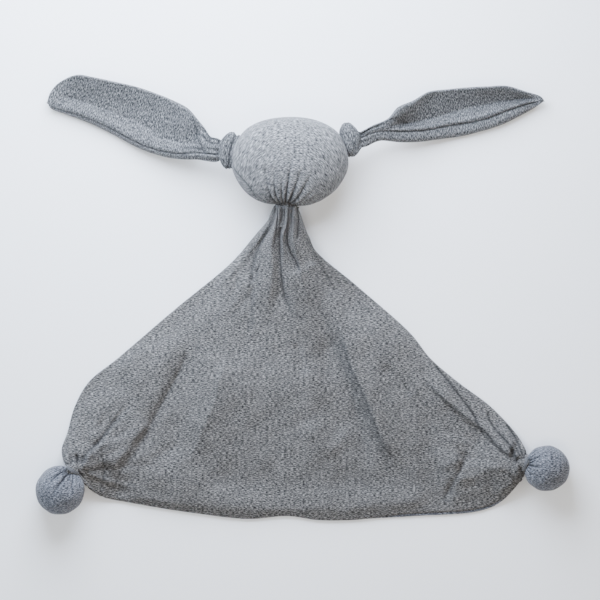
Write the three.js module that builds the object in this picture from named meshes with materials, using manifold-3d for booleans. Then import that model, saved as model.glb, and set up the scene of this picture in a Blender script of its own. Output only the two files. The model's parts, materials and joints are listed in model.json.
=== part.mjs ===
// A bunny comforter in grey heather jersey, lying on its back: a stuffed head with two knotted ears,
// and a flat doubled body gathered at the neck, with a stuffed ball tied into each lower corner.
// Millimetres, +Z up. The head points along +Y, and the viewer in front of the toy looks down on it.
// The origin lies under the body, on the flat underside that the toy rests on.
import * as THREE from 'three';
import { mergeVertices } from 'three/addons/utils/BufferGeometryUtils.js';
import Module from 'manifold-3d';

const wasm = await Module();
wasm.setup();

// Cloth, thread and fit
const clothThickness = 1.0;
const clearance = 0.3;
const floorFlat = 0.5;
const neckThreadDiameter = 0.9;
const wristThreadDiameter = 0.7;
const threadPitchFactor = 1.6;

// Neck, where the body cloth is gathered and bound
const neckPlace = [-3.4, 129];
const neckHeight = 27;
const neckRadius = 8.4;
const neckTurns = 2;

// Head
const headHalfWidth = 43.5;
const headHalfLength = 33.6;
const headHalfDepth = 28;
const headSideStep = 3.4;
const headMouthDrop = 0.6;
const headSquareness = 2.3;
const headRoundBelow = 0.3;
const headPleats = 16;
const headPleatDepth = 0.9;
const headPleatRun = [0.7, 0.95];

// Ears, each from its knot to its tip
const earRootRadius = 5;
const earRootSink = 0.85;
const earBudLength = 15;
const earBudHalfWidth = 7;
const earBudHalfHeight = 4.4;
const earTroughDepth = 9;
const earTroughLine = -0.35;
const earTroughStart = 45;
const earTipFlattening = { from: 100, to: 140, share: 0.6 };
const earDroopLength = 75;
const earDroopCurve = 1.6;
const earLength = { left: 136, right: 142 };
const earAngle = { left: 163.7, right: 11.8 };

// Each row: distance from the root, middle line, half width
const earProfile = {
  left: [[6.5, -2, 7.6], [13, -1, 11], [23, 1.6, 16.6], [37, 3.4, 19.9], [56, 5.2, 21.7], [88, 7.5, 18.8],
    [113, 7.2, 16], [125, 5.9, 13.6], [132, 2.8, 8.5], [136, 0, 2]],
  right: [[6.5, 0.6, 6.3], [16, 1.6, 7.6], [26, 2.6, 9], [38, 4.6, 14], [58, 6.1, 17.4], [80, 4.7, 18.3],
    [105, 2.8, 15.1], [127, 2.4, 10.2], [138, 1, 4.7], [142, 0, 1.4]],
};

// Knots, tied against the sides of the head
const bandHalfThickness = 3.2;
const bandShare = 0.58;
const knotHeight = 25;
const knotNest = 4.2;
const knotRoomLength = 1.3;
const knotSize = {
  left: { halfLength: 14, halfAcross: 6.2, halfHeight: 7.2, headAngle: 169.5, lean: 84, twist: 10 },
  right: { halfLength: 12.6, halfAcross: 7, halfHeight: 7.8, headAngle: 19.6, lean: 301, twist: -14 },
};

// Hand balls, tied into the lower corners
const ballSize = {
  left: { radius: 18.2, pivot: [-162.5, -67], angle: 238, fall: 6 },
  right: { radius: 17, pivot: [175.6, -62.6], angle: 348.5, fall: 6 },
};
const wristSlope = 24;
const wristRadius = 5.2;
const wristTurns = 2;
const wristBundleLength = 9.4;
const wristBundleRadius = 4.2;
const wristBundlePlace = 10.4;
const ballPleats = 8;
const ballPleatDepth = 0.7;
const ballPleatRun = [0.6, 0.95];

// Body: outline from the neck to the corners, and the hem between them
const neckOutline = {
  left: [[-5.5, -4.5], [-9.5, -9.8], [-14.5, -15]],
  right: [[5.5, -4.5], [9, -10], [14.5, -17.5]],
};
const sideOutline = {
  left: [[-27.8, 106.5], [-43.5, 88.5], [-87, 52.5], [-129, 16.5], [-151, -1.5], [-161.5, -20],
    [-167, -40], [-170.5, -56]],
  right: [[18.8, 97.5], [50.3, 70.5], [90.8, 34.5], [105, 16.5], [126, -1.5], [150, -19.5],
    [167.3, -37.5], [174.5, -50]],
};
const hemOutline = [[-150.5, -78], [-141, -87], [-120, -92], [-66.8, -100.5], [-30.8, -104.2],
  [-2, -102], [21, -105], [46.5, -105], [87, -100.5], [141, -96.5], [162, -87.5], [170.5, -78]];
const neckRiseReach = 118;
const neckRiseReachAtSides = 62;
const sideDirection = 50;
const riseCurve = 1.35;
const cornerRiseReach = 40;
const bundleReach = 46;
const bundleCurve = 1.2;
const bundleSwell = 2.2;
const bundleSwellRun = [6, 20];
const bundleStart = [-4, 8];
const bundleBackShare = 0.8;
const looseStart = [10, 40];
const panelWidth = 200;
const panelPuff = 5.2;
const edgeFade = 24;

// Folds in the front panel: points along each, half width, height (a valley is negative)
const folds = [
  // Gathers below the neck
  { points: [[-5.2, 118], [-7.7, 100], [-8, 75], [10, 48]], halfWidth: 4, height: -4 },
  { points: [[-11, 117], [-14, 99], [-13, 80], [-22, 40]], halfWidth: 4, height: 3.5 },
  { points: [[-14, 116], [-20, 105], [-28, 93], [-29, 72]], halfWidth: 4, height: -4 },
  { points: [[-20, 108], [-44, 80], [-66, 56]], halfWidth: 6, height: 3.4 },
  { points: [[3, 116], [4, 100], [14, 62]], halfWidth: 3.5, height: 3.2 },
  // The long valley and ridges right of the middle
  { points: [[13, 68], [27, 40], [45, 8], [55, -14], [67, -40], [78, -62]], halfWidth: 8, height: -5 },
  { points: [[34, 70], [45, 50], [57, 26], [68, 2], [80, -24], [92, -50]], halfWidth: 11, height: 4 },
  { points: [[48, 66], [76, 38], [104, 8], [130, -24]], halfWidth: 12, height: 3 },
  { points: [[36, 12], [46, -10], [52, -34], [60, -66]], halfWidth: 6, height: -2.4 },
  { points: [[14, -26], [30, -52], [47, -30]], halfWidth: 8, height: 2.6 },
  // Left of the middle
  { points: [[-76, 22], [-85, 0], [-100, -28], [-116, -51], [-134, -86]], halfWidth: 7, height: -5.4 },
  { points: [[-72, 42], [-88, 16], [-101, -10], [-118, -36], [-134, -62]], halfWidth: 9, height: 4.2 },
  { points: [[-43, 21], [-50, 0], [-60, -20], [-70, -50], [-82, -80]], halfWidth: 7, height: -4 },
  { points: [[-58, 14], [-72, -12], [-84, -40], [-96, -66]], halfWidth: 8, height: 2.6 },
  { points: [[-96, 32], [-122, 10], [-144, -12], [-158, -34], [-163, -52]], halfWidth: 8, height: 4.4 },
  // Into the wrists
  { points: [[-117, -15], [-136, -36], [-149, -54]], halfWidth: 4, height: -4 },
  { points: [[-126, -44], [-140, -50], [-150, -58]], halfWidth: 5, height: 4.4 },
  { points: [[100, 6], [116, -8], [131, -20], [148, -33], [168, -52]], halfWidth: 7, height: 5 },
  { points: [[134, -67], [155, -67], [167, -71]], halfWidth: 6, height: 4.4 },
  { points: [[131, -49], [129, -63], [122, -78], [112, -93]], halfWidth: 5, height: -4.2 },
  // The soft roll above the hem
  { points: [[-128, -86], [-72, -87], [-30, -90], [10, -94], [45, -90], [118, -88]], halfWidth: 8, height: 5 },
];

// Facets
const panelColumns = 32;
const panelRows = 18;
const rowSpacing = 1.5;
const bundleRows = [0.05, 0.5];
const foldEndShare = 0.15;
const foldEndHeight = 0.2;
const threadSides = 5;
const threadSteps = 14;
const wrapSteps = 14;
const wrapSides = 6;
const lumpRings = 5;
const lumpSides = 10;
const roomRings = 8;
const roomSides = 14;
const headOutsideRings = 12;
const headInsideRings = 9;
const headInsideSides = 18;
const ballOutsideRings = 8;
const ballInsideRings = 6;
const ballInsideSides = 10;
const neckSides = 16;
const jointSides = 12;
const fillingSideStep = 2;
const earSteps = 12;
const earColumns = 5;
const innerStart = 2;
const weldDistance = 1e-5;
const halfSpaceSize = 2000;

const jersey = (colour) => new THREE.MeshStandardMaterial({ color: colour, roughness: 0.95, metalness: 0 });
const frontCloth = jersey(0x85878c);
const backCloth = jersey(0x7a7c81);
const headCloth = jersey(0xa2a6ab);
const earCloth = jersey(0x8e9298);
const wadding = new THREE.MeshStandardMaterial({ color: 0xf2f1ec, roughness: 1, metalness: 0 });
const sewingThread = new THREE.MeshStandardMaterial({ color: 0x6f7278, roughness: 0.7, metalness: 0 });

const radians = THREE.MathUtils.degToRad;
const smooth = THREE.MathUtils.smoothstep;
const mix = THREE.MathUtils.lerp;
const planDirection = (degrees) =>
  new THREE.Vector3(Math.cos(radians(degrees)), Math.sin(radians(degrees)), 0);

// Solids from meshes, and back

function toSolid(geometry) {
  const bare = geometry.clone();
  bare.deleteAttribute('normal');
  bare.deleteAttribute('uv');
  const merged = mergeVertices(bare, weldDistance);
  const points = merged.attributes.position.array;
  const corners = [];
  for (let i = 0; i < merged.index.count; i += 3) {
    const [a, b, c] = [0, 1, 2].map((k) => merged.index.getX(i + k));
    if (a !== b && b !== c && c !== a) corners.push(a, b, c);
  }
  const at = (i) => new THREE.Vector3(points[3 * i], points[3 * i + 1], points[3 * i + 2]);
  let volume = 0;
  for (let i = 0; i < corners.length; i += 3) {
    volume += at(corners[i]).dot(at(corners[i + 1]).cross(at(corners[i + 2])));
  }
  if (volume < 0) corners.reverse();
  return new wasm.Manifold(new wasm.Mesh({
    numProp: 3,
    vertProperties: new Float32Array(points),
    triVerts: new Uint32Array(corners),
  }));
}

function toGeometry(solid) {
  const mesh = solid.getMesh();
  const geometry = new THREE.BufferGeometry();
  geometry.setAttribute('position', new THREE.BufferAttribute(mesh.vertProperties, 3));
  geometry.setIndex(new THREE.BufferAttribute(mesh.triVerts, 1));
  geometry.computeVertexNormals();
  return geometry;
}

// A sheet with thickness: two grids of points joined round the rim
function sheet(columns, rows, top, bottom) {
  const points = [];
  const index = [];
  for (const face of [top, bottom]) {
    for (let j = 0; j <= rows; j++) {
      for (let i = 0; i <= columns; i++) points.push(...face(i / columns, j / rows));
    }
  }
  const layer = (columns + 1) * (rows + 1);
  const at = (i, j, below) => j * (columns + 1) + i + (below ? layer : 0);
  const quad = (a, b, c, d) => index.push(a, b, c, a, c, d);
  for (let j = 0; j < rows; j++) {
    for (let i = 0; i < columns; i++) {
      quad(at(i, j), at(i, j + 1), at(i + 1, j + 1), at(i + 1, j));
      quad(at(i, j, true), at(i + 1, j, true), at(i + 1, j + 1, true), at(i, j + 1, true));
    }
  }
  for (let i = 0; i < columns; i++) {
    quad(at(i, 0), at(i + 1, 0), at(i + 1, 0, true), at(i, 0, true));
    quad(at(i + 1, rows), at(i, rows), at(i, rows, true), at(i + 1, rows, true));
  }
  for (let j = 0; j < rows; j++) {
    quad(at(0, j + 1), at(0, j), at(0, j, true), at(0, j + 1, true));
    quad(at(columns, j), at(columns, j + 1), at(columns, j + 1, true), at(columns, j, true));
  }
  const geometry = new THREE.BufferGeometry();
  geometry.setAttribute('position', new THREE.Float32BufferAttribute(points, 3));
  geometry.setIndex(index);
  return toSolid(geometry);
}

// A rounded body about a centre: reach gives its radius for a direction, and the poles lie on the axis
function blob(centre, axis, rings, sides, reach) {
  const turn = new THREE.Quaternion().setFromUnitVectors(new THREE.Vector3(0, 1, 0), axis);
  const unit = new THREE.SphereGeometry(1, sides, rings);
  const place = unit.attributes.position;
  const half = new THREE.Quaternion().setFromAxisAngle(new THREE.Vector3(0, 1, 0), Math.PI / sides);
  for (let i = 0; i < place.count; i++) {
    const way = new THREE.Vector3().fromBufferAttribute(place, i).applyQuaternion(half).applyQuaternion(turn);
    const point = way.clone().normalize().multiplyScalar(reach(way.normalize())).add(centre);
    place.setXYZ(i, point.x, point.y, Math.max(point.z, 0));
  }
  return toSolid(unit);
}

const ball = (centre, radius, sides) =>
  blob(centre, new THREE.Vector3(0, 1, 0), sides / 2, sides, () => radius);

// The half of space above or below a height
function halfSpace(height, above) {
  const box = new THREE.BoxGeometry(halfSpaceSize, halfSpaceSize, halfSpaceSize);
  box.translate(0, 0, height + (above ? halfSpaceSize / 2 : -halfSpaceSize / 2));
  return toSolid(box);
}

// A tube of round section along a list of points
function tube(points, radius, sides) {
  const curve = new THREE.CatmullRomCurve3(points);
  const steps = points.length - 1;
  const frames = curve.computeFrenetFrames(steps, false);
  const place = [];
  const index = [];
  for (let k = 0; k <= steps; k++) {
    for (let s = 0; s < sides; s++) {
      const angle = 2 * Math.PI * s / sides;
      const point = points[k].clone()
        .addScaledVector(frames.normals[k], radius * Math.cos(angle))
        .addScaledVector(frames.binormals[k], radius * Math.sin(angle));
      place.push(point.x, point.y, point.z);
    }
  }
  for (let k = 0; k < steps; k++) {
    for (let s = 0; s < sides; s++) {
      const next = (s + 1) % sides;
      const [a, b, c, d] = [k * sides + s, k * sides + next, (k + 1) * sides + next, (k + 1) * sides + s];
      index.push(a, b, c, a, c, d);
    }
  }
  for (let s = 1; s < sides - 1; s++) {
    index.push(0, s + 1, s);
    index.push(steps * sides, steps * sides + s, steps * sides + s + 1);
  }
  const geometry = new THREE.BufferGeometry();
  geometry.setAttribute('position', new THREE.Float32BufferAttribute(place, 3));
  geometry.setIndex(index);
  return toSolid(geometry);
}

// A tie: thread wound round the gathered cloth, which ends in a ball that the stuffed end turns on
function tie(pivot, axis, bundleRadius, threadDiameter, turns) {
  const across = new THREE.Vector3(0, 0, 1).cross(axis).normalize();
  const up = axis.clone().cross(across).normalize();
  const windRadius = bundleRadius + clearance + threadDiameter / 2;
  const pitch = threadDiameter * threadPitchFactor;
  const points = [];
  for (let k = 0; k <= turns * threadSteps; k++) {
    const turn = k / threadSteps;
    const angle = 2 * Math.PI * turn;
    points.push(pivot.clone()
      .addScaledVector(axis, (turn - turns / 2) * pitch)
      .addScaledVector(across, windRadius * Math.sin(angle))
      .addScaledVector(up, -windRadius * Math.cos(angle)));
  }
  let least = Infinity;
  points.forEach((a, i) => points.slice(i + threadSteps - 2).forEach((b) => {
    least = Math.min(least, a.distanceTo(b));
  }));
  console.log(`least gap between turns: ${(least - threadDiameter).toFixed(2)} mm`);
  const halfBand = (turns * pitch + threadDiameter) / 2;
  const reach = Math.hypot(windRadius + threadDiameter / 2, halfBand);
  return { solid: tube(points, threadDiameter / 2, threadSides), mouthRadius: reach + clearance };
}

const toy = new THREE.Group();

function add(name, solid, material) {
  const mesh = new THREE.Mesh(toGeometry(solid), material);
  mesh.name = name;
  toy.add(mesh);
}

// Neck and head
const neckPivot = new THREE.Vector3(...neckPlace, neckHeight);
const headCentre = new THREE.Vector3(
  neckPlace[0] + headSideStep,
  neckPlace[1] + headMouthDrop + headHalfLength,
  headHalfDepth - floorFlat,
);
const neckAxis = headCentre.clone().sub(neckPivot).setZ(0).normalize();
const neckTie = tie(neckPivot, neckAxis, neckRadius, neckThreadDiameter, neckTurns);

// Head radius for a direction: a squared ball, rounder below
function headReach(way) {
  const power = mix(2, headSquareness, smooth(way.y, -headRoundBelow, headRoundBelow));
  const sum = Math.abs(way.x / headHalfWidth) ** power
    + Math.abs(way.y / headHalfLength) ** power
    + Math.abs(way.z / headHalfDepth) ** power;
  return sum ** (-1 / power);
}

// Pleats on the outside run to the neck, and the inside is drawn in as far as the deepest of them
function headPleat(way, outside) {
  const around = Math.atan2(way.z, way.x);
  const wave = outside ? (1 - Math.cos(headPleats * around)) / 2 : 1;
  return headPleatDepth * wave * smooth(-way.dot(neckAxis), ...headPleatRun);
}

const headOutside = () => blob(headCentre, neckAxis, headOutsideRings, 2 * headPleats,
  (way) => headReach(way) - headPleat(way, true));
const headInside = (inset) => blob(headCentre, neckAxis, headInsideRings, headInsideSides,
  (way) => headReach(way) - headPleat(way, false) - inset);

// Knots
function knotFrame(side) {
  const size = knotSize[side];
  const out = planDirection(size.headAngle);
  const edge = headReach(out);
  const centre = headCentre.clone().addScaledVector(out, edge + knotNest).setZ(knotHeight);
  const frame = { centre, along: planDirection(size.lean), ...size };
  return { ...frame, solid: knot(frame) };
}

// One wrap of the knot: a flat band that runs round an oval
function wrap(centre, along, across, semiLong, semiUp, halfWidth) {
  const [steps, sides] = [wrapSteps, wrapSides];
  const points = [];
  for (let k = 0; k < steps; k++) {
    for (let s = 0; s < sides; s++) {
      const round = 2 * Math.PI * k / steps;
      const section = 2 * Math.PI * (s + 0.5) / sides;
      const out = bandHalfThickness * Math.sin(section);
      points.push(centre.clone()
        .addScaledVector(along, (semiLong + out) * Math.cos(round))
        .addScaledVector(across, halfWidth * Math.cos(section))
        .add(new THREE.Vector3(0, 0, (semiUp + out) * Math.sin(round))));
    }
  }
  const index = [];
  for (let k = 0; k < steps; k++) {
    for (let s = 0; s < sides; s++) {
      const [k1, s1] = [(k + 1) % steps, (s + 1) % sides];
      const [a, b, c, d] = [k * sides + s, k * sides + s1, k1 * sides + s1, k1 * sides + s];
      index.push(a, b, c, a, c, d);
    }
  }
  const geometry = new THREE.BufferGeometry();
  geometry.setFromPoints(points);
  geometry.setIndex(index);
  return toSolid(geometry);
}

// A rounded lump, longer along its axis
function lump(centre, axis, halfLength, radius, halfHeight = radius, facets = [lumpRings, lumpSides]) {
  return blob(centre, axis, ...facets, (way) => {
    const along = way.dot(axis) ** 2;
    const up = way.z ** 2;
    return 1 / Math.sqrt(along / halfLength ** 2 + (1 - along - up) / radius ** 2 + up / halfHeight ** 2);
  });
}

function knot(frame) {
  const up = new THREE.Vector3(0, 0, 1);
  const semiLong = frame.halfLength - bandHalfThickness;
  const semiUp = frame.halfHeight - bandHalfThickness;
  const halfWidth = frame.halfAcross * bandShare;
  let solid = lump(frame.centre, frame.along, semiLong, frame.halfAcross);
  for (const [step, twist] of [[-1, 0], [1, frame.twist]]) {
    const along = frame.along.clone().applyAxisAngle(up, radians(twist));
    const across = up.clone().cross(along);
    const centre = frame.centre.clone().addScaledVector(across, step * (frame.halfAcross - halfWidth));
    solid = solid.add(wrap(centre, along, across, semiLong, semiUp, halfWidth));
  }
  // The strand that comes out of the head's side seam into the knot
  const toHead = up.clone().cross(frame.along);
  if (toHead.dot(headCentre.clone().sub(frame.centre)) < 0) toHead.negate();
  const strandRadius = turningReach(solid, frame) / 2;
  const middle = frame.centre.clone().addScaledVector(toHead, strandRadius);
  return solid.add(lump(middle, toHead, strandRadius, strandRadius));
}

// Radius of the least oval round a knot in which it turns about its long axis
function turningReach(solid, frame) {
  const place = toGeometry(solid).attributes.position;
  let reach = 0;
  for (let i = 0; i < place.count; i++) {
    const point = new THREE.Vector3().fromBufferAttribute(place, i).sub(frame.centre);
    const along = point.dot(frame.along);
    const away = Math.sqrt(point.lengthSq() - along ** 2);
    reach = Math.max(reach, away / Math.sqrt(1 - (along / roomHalfLength(frame)) ** 2));
  }
  return reach;
}

const roomHalfLength = (frame) => frame.halfLength * knotRoomLength;

const knots = { left: knotFrame('left'), right: knotFrame('right') };

// The room that a knot needs in the side of the head
function knotRoom(frame, gap) {
  const radius = (turningReach(frame.solid, frame) + gap) / Math.cos(Math.PI / roomSides);
  return lump(frame.centre, frame.along, roomHalfLength(frame) + gap, radius, radius, [roomRings, roomSides]);
}

function head() {
  const mouth = ball(neckPivot, neckTie.mouthRadius, neckSides);
  let cover = headOutside().subtract(headInside(clothThickness)).subtract(mouth);
  let filling = headInside(clothThickness + clearance)
    .subtract(ball(neckPivot, neckTie.mouthRadius + clearance, neckSides - fillingSideStep));
  for (const frame of Object.values(knots)) {
    cover = cover.subtract(knotRoom(frame, clearance));
    filling = filling.subtract(knotRoom(frame, clearance));
  }
  add('head_front_panel', cover.intersect(halfSpace(headCentre.z + clearance / 2, true)), headCloth);
  add('head_back_panel', cover.intersect(halfSpace(headCentre.z - clearance / 2, false)), headCloth);
  add('head_filling', filling, wadding);
}

// Ears
function earFrame(side) {
  const frame = knots[side];
  const along = planDirection(earAngle[side]);
  const across = new THREE.Vector3(0, 0, side === 'left' ? -1 : 1).cross(along);
  const face = frame.centre.clone().addScaledVector(along, frame.halfAcross);
  const root = face.clone().addScaledVector(along, earRootRadius * earRootSink);
  return { face, root, along, across };
}

const ears = { left: earFrame('left'), right: earFrame('right') };

function earLayer(side, firstStep, lift) {
  const { face: start, along, across } = ears[side];
  const scale = earLength[side] / earProfile[side].at(-1)[0];
  const line = new THREE.CatmullRomCurve3(
    earProfile[side].map(([distance, middle, half]) => new THREE.Vector3(distance * scale, middle, half)));
  const point = (u, v, height) => {
    const { x: distance, y: middle, z: half } = line.getPoint(mix(firstStep / earSteps, 1, v));
    const t = 1 - 2 * u;
    const droop = (1 - Math.min(distance / earDroopLength, 1)) ** earDroopCurve;
    const curl = Math.abs((t - earTroughLine) / (1 - earTroughLine)) ** 2;
    const depth = earTroughDepth * smooth(distance, 0, earTroughStart)
      * mix(1, earTipFlattening.share, smooth(distance, earTipFlattening.from, earTipFlattening.to));
    const place = start.clone().addScaledVector(along, distance).addScaledVector(across, middle + t * half);
    return [place.x, place.y, start.z * droop + depth * curl + height];
  };
  const face = (height) => (u, v) => point(u, v, lift + height);
  return sheet(earColumns, earSteps - firstStep, face(clothThickness), face(0));
}

function ear(side) {
  const { face, root, along } = ears[side];
  const middle = face.clone().addScaledVector(along, earBudLength / 2);
  const bud = lump(middle, along, earBudLength / 2, earBudHalfWidth, earBudHalfHeight);
  const outer = earLayer(side, 0, 0).add(ball(root, earRootRadius, jointSides)).add(bud);
  add(`${side}_ear_outer`, outer, earCloth);
  add(`${side}_ear_inner`, earLayer(side, innerStart, clothThickness + clearance), earCloth);
}

function earKnot(side) {
  const socket = ball(ears[side].root, earRootRadius + clearance, jointSides);
  add(`${side}_ear_knot`, knots[side].solid.subtract(socket), earCloth);
}

// Hand balls
function handBall(side) {
  const { radius, pivot, angle, fall } = ballSize[side];
  const height = radius - floorFlat;
  const axis = planDirection(angle).multiplyScalar(Math.cos(radians(fall)));
  axis.z = -Math.sin(radians(fall));
  const place = new THREE.Vector3(...pivot, height + radius * Math.sin(radians(fall)));
  return { radius, axis, pivot: place, centre: place.clone().addScaledVector(axis, radius) };
}

const balls = { left: handBall('left'), right: handBall('right') };
const wristTie = {};
for (const side of ['left', 'right']) {
  wristTie[side] = tie(balls[side].pivot, balls[side].axis, wristRadius, wristThreadDiameter, wristTurns);
}

function ballPleat({ axis }, way, outside) {
  const level = new THREE.Vector3(0, 0, 1).cross(axis).normalize();
  const around = Math.atan2(way.dot(axis.clone().cross(level)), way.dot(level));
  const wave = outside ? (1 - Math.cos(ballPleats * around)) / 2 : 1;
  return ballPleatDepth * wave * smooth(-way.dot(axis), ...ballPleatRun);
}

const ballOutside = (part) => blob(part.centre, part.axis, ballOutsideRings, 2 * ballPleats,
  (way) => part.radius - ballPleat(part, way, true));
const ballInside = (part, inset) => blob(part.centre, part.axis, ballInsideRings, ballInsideSides,
  (way) => part.radius - ballPleat(part, way, false) - inset);

function hand(side) {
  const part = balls[side];
  const mouth = ball(part.pivot, wristTie[side].mouthRadius, jointSides);
  const cover = ballOutside(part).subtract(ballInside(part, clothThickness)).subtract(mouth);
  const filling = ballInside(part, clothThickness + clearance)
    .subtract(ball(part.pivot, wristTie[side].mouthRadius + clearance, jointSides - fillingSideStep));
  add(`${side}_ball_cover`, cover, backCloth);
  add(`${side}_ball_filling`, filling, wadding);
  add(`${side}_ball_thread`, wristTie[side].solid, sewingThread);
}

// Body outline and the height of the cloth over it
const flatPoint = ([x, y]) => new THREE.Vector3(x, y, 0);
const cornerOf = (side) =>
  balls[side].pivot.clone().addScaledVector(balls[side].axis, -wristRadius).setZ(0);
const neckPoint = ([x, y]) => new THREE.Vector3(neckPlace[0] + x, neckPlace[1] + y, 0);

const smoothLine = (points) => new THREE.CatmullRomCurve3(points, false, 'centripetal');
const sideLine = (side) =>
  smoothLine([...neckOutline[side].map(neckPoint), ...sideOutline[side].map(flatPoint), cornerOf(side)]);
const leftLine = sideLine('left');
const rightLine = sideLine('right');
const hemLine = smoothLine([cornerOf('left'), ...hemOutline.map(flatPoint), cornerOf('right')]);

// Columns gather at the sides of the round neck bundle, and spread evenly lower down
const spreadAcross = (u, v) => mix((1 - Math.cos(Math.PI * u)) / 2, u, smooth(v, ...bundleRows));

// A point of the panel: u runs across it, v from the neck to the hem
function panelPoint(u, v) {
  const down = v ** rowSpacing;
  const spread = spreadAcross(u, v);
  const [left, right] = [leftLine.getPointAt(down), rightLine.getPointAt(down)];
  const hem = hemLine.getPointAt(spread);
  const neck = leftLine.getPointAt(0).lerp(rightLine.getPointAt(0), spread);
  const sides = left.lerp(right, spread);
  const ends = neck.lerp(hem, down);
  const corners = leftLine.getPointAt(0).lerp(rightLine.getPointAt(0), spread)
    .lerp(cornerOf('left').lerp(cornerOf('right'), spread), down);
  return sides.add(ends).sub(corners);
}

// How far the middle of the doubled cloth stands off the floor
function rise(x, y) {
  const [dx, dy] = [x - neckPivot.x, neckPivot.y - y];
  const distance = Math.max(Math.hypot(dx, dy) - neckRadius, 0);
  const side = Math.abs(Math.atan2(dx, dy)) / radians(sideDirection);
  const reach = mix(neckRiseReach, neckRiseReachAtSides, Math.min(side, 1) ** 2) - neckRadius;
  const flat = clothThickness + clearance;
  let height = flat + (neckHeight - flat) * (1 - Math.min(distance / reach, 1)) ** riseCurve;
  for (const { pivot } of Object.values(balls)) {
    const away = Math.hypot(x - pivot.x, y - pivot.y);
    height += (pivot.z - flat) * (1 - Math.min(away / cornerRiseReach, 1)) ** riseCurve;
  }
  return height;
}

function foldHeight(x, y) {
  let height = 0;
  for (const fold of folds) {
    const points = fold.points.map(flatPoint);
    let nearest = Infinity;
    let where = 0;
    for (let i = 0; i + 1 < points.length; i++) {
      const line = new THREE.Line3(points[i], points[i + 1]);
      const at = line.closestPointToPointParameter(new THREE.Vector3(x, y, 0), true);
      const distance = line.at(at, new THREE.Vector3()).distanceTo(new THREE.Vector3(x, y, 0));
      if (distance < nearest) [nearest, where] = [distance, (i + at) / (points.length - 1)];
    }
    const inside = smooth(where, 0, foldEndShare) * smooth(1 - where, 0, foldEndShare);
    height += fold.height * mix(foldEndHeight, 1, inside) * Math.exp(-((nearest / fold.halfWidth) ** 2));
  }
  return height;
}

// The gathered cloth just under the neck, packed solid, and the loose front beyond it
function bundle(u, x, y) {
  const distance = Math.hypot(x - neckPivot.x, y - neckPivot.y);
  const fade = (1 - Math.min(distance / bundleReach, 1)) ** bundleCurve * smooth(distance, ...bundleStart);
  const swell = neckRadius - 2 * clearance + bundleSwell * smooth(distance, ...bundleSwellRun);
  return swell * fade * Math.sqrt(Math.max(1 - (2 * u - 1) ** 2, 0));
}

function looseLift(u, v, x, y) {
  const fromEdge = Math.min(u, 1 - u, 1 - v) * panelWidth;
  const fromNeck = smooth(Math.hypot(x - neckPivot.x, y - neckPivot.y), ...looseStart);
  return Math.max(panelPuff + foldHeight(x, y), 0) * smooth(fromEdge, 0, edgeFade) * fromNeck;
}

function panel(front) {
  const face = (outside) => (u, v) => {
    const { x, y } = panelPoint(u, v);
    const middle = rise(x, y);
    const packed = bundle(spreadAcross(u, v), x, y);
    if (!front) {
      const top = middle - clearance;
      return [x, y, outside ? Math.max(top - clothThickness - packed * bundleBackShare, 0) : top];
    }
    const lift = middle + clearance + looseLift(u, v, x, y);
    return [x, y, outside ? lift + clothThickness + packed : lift];
  };
  return sheet(panelColumns, panelRows, face(true), face(false));
}

// The cloth that runs into a wrist tie
function wristBundle(side, gap) {
  const { pivot, axis } = balls[side];
  const inward = axis.clone().negate().setZ(0).normalize().multiplyScalar(Math.cos(radians(wristSlope)));
  inward.z = -Math.sin(radians(wristSlope));
  const middle = pivot.clone().addScaledVector(inward, wristBundlePlace);
  const gathered = lump(middle, inward, wristBundleLength + gap, wristBundleRadius + gap);
  return ball(pivot, wristRadius + gap, jointSides).add(gathered);
}

function body() {
  const dome = ball(neckPivot, neckRadius, neckSides);
  let front = panel(true).add(dome.intersect(halfSpace(neckHeight + clearance, true)));
  let back = panel(false).add(dome.intersect(halfSpace(neckHeight - clearance, false)));
  for (const side of ['left', 'right']) {
    front = front.add(wristBundle(side, 0));
    back = back.subtract(wristBundle(side, clearance));
  }
  add('body_front_panel', front, frontCloth);
  add('body_back_panel', back, backCloth);
}

body();
add('neck_thread', neckTie.solid, sewingThread);
head();
for (const side of ['left', 'right']) {
  earKnot(side);
  ear(side);
  hand(side);
}

export default toy;
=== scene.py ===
# A bunny comforter in grey heather jersey, lying on its back on a pale floor, seen from straight above.
# Sizes are in millimetres until a mesh is written; the frame and every finished mesh are in metres.
import json
import math

import bpy
import numpy as np
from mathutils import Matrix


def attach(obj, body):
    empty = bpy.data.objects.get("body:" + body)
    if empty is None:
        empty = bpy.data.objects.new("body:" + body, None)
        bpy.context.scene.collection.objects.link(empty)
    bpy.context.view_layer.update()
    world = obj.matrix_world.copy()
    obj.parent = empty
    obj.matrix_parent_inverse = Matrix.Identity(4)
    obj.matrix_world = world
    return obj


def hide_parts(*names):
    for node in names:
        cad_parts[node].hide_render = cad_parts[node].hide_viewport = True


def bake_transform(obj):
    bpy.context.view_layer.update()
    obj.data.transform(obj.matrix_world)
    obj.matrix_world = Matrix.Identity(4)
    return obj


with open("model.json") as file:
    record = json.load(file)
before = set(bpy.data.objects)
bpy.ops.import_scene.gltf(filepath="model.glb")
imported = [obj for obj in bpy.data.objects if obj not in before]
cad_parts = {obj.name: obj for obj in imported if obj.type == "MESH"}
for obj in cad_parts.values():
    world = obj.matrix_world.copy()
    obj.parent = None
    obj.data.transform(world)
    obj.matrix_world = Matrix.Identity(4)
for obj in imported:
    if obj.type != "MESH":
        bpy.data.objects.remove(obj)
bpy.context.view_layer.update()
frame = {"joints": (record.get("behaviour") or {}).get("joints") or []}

MM = 0.001
SIDES = ("left", "right")

# The photograph's frame: 600 pixels of 0.75 mm, with its middle over this point of the floor
PHOTO_WIDTH = 450
PHOTO_MIDDLE = (7.5, 60)
CAMERA_HEIGHT = 6000
SENSOR_WIDTH = 36
CAMERA_REACH = 20

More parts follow.
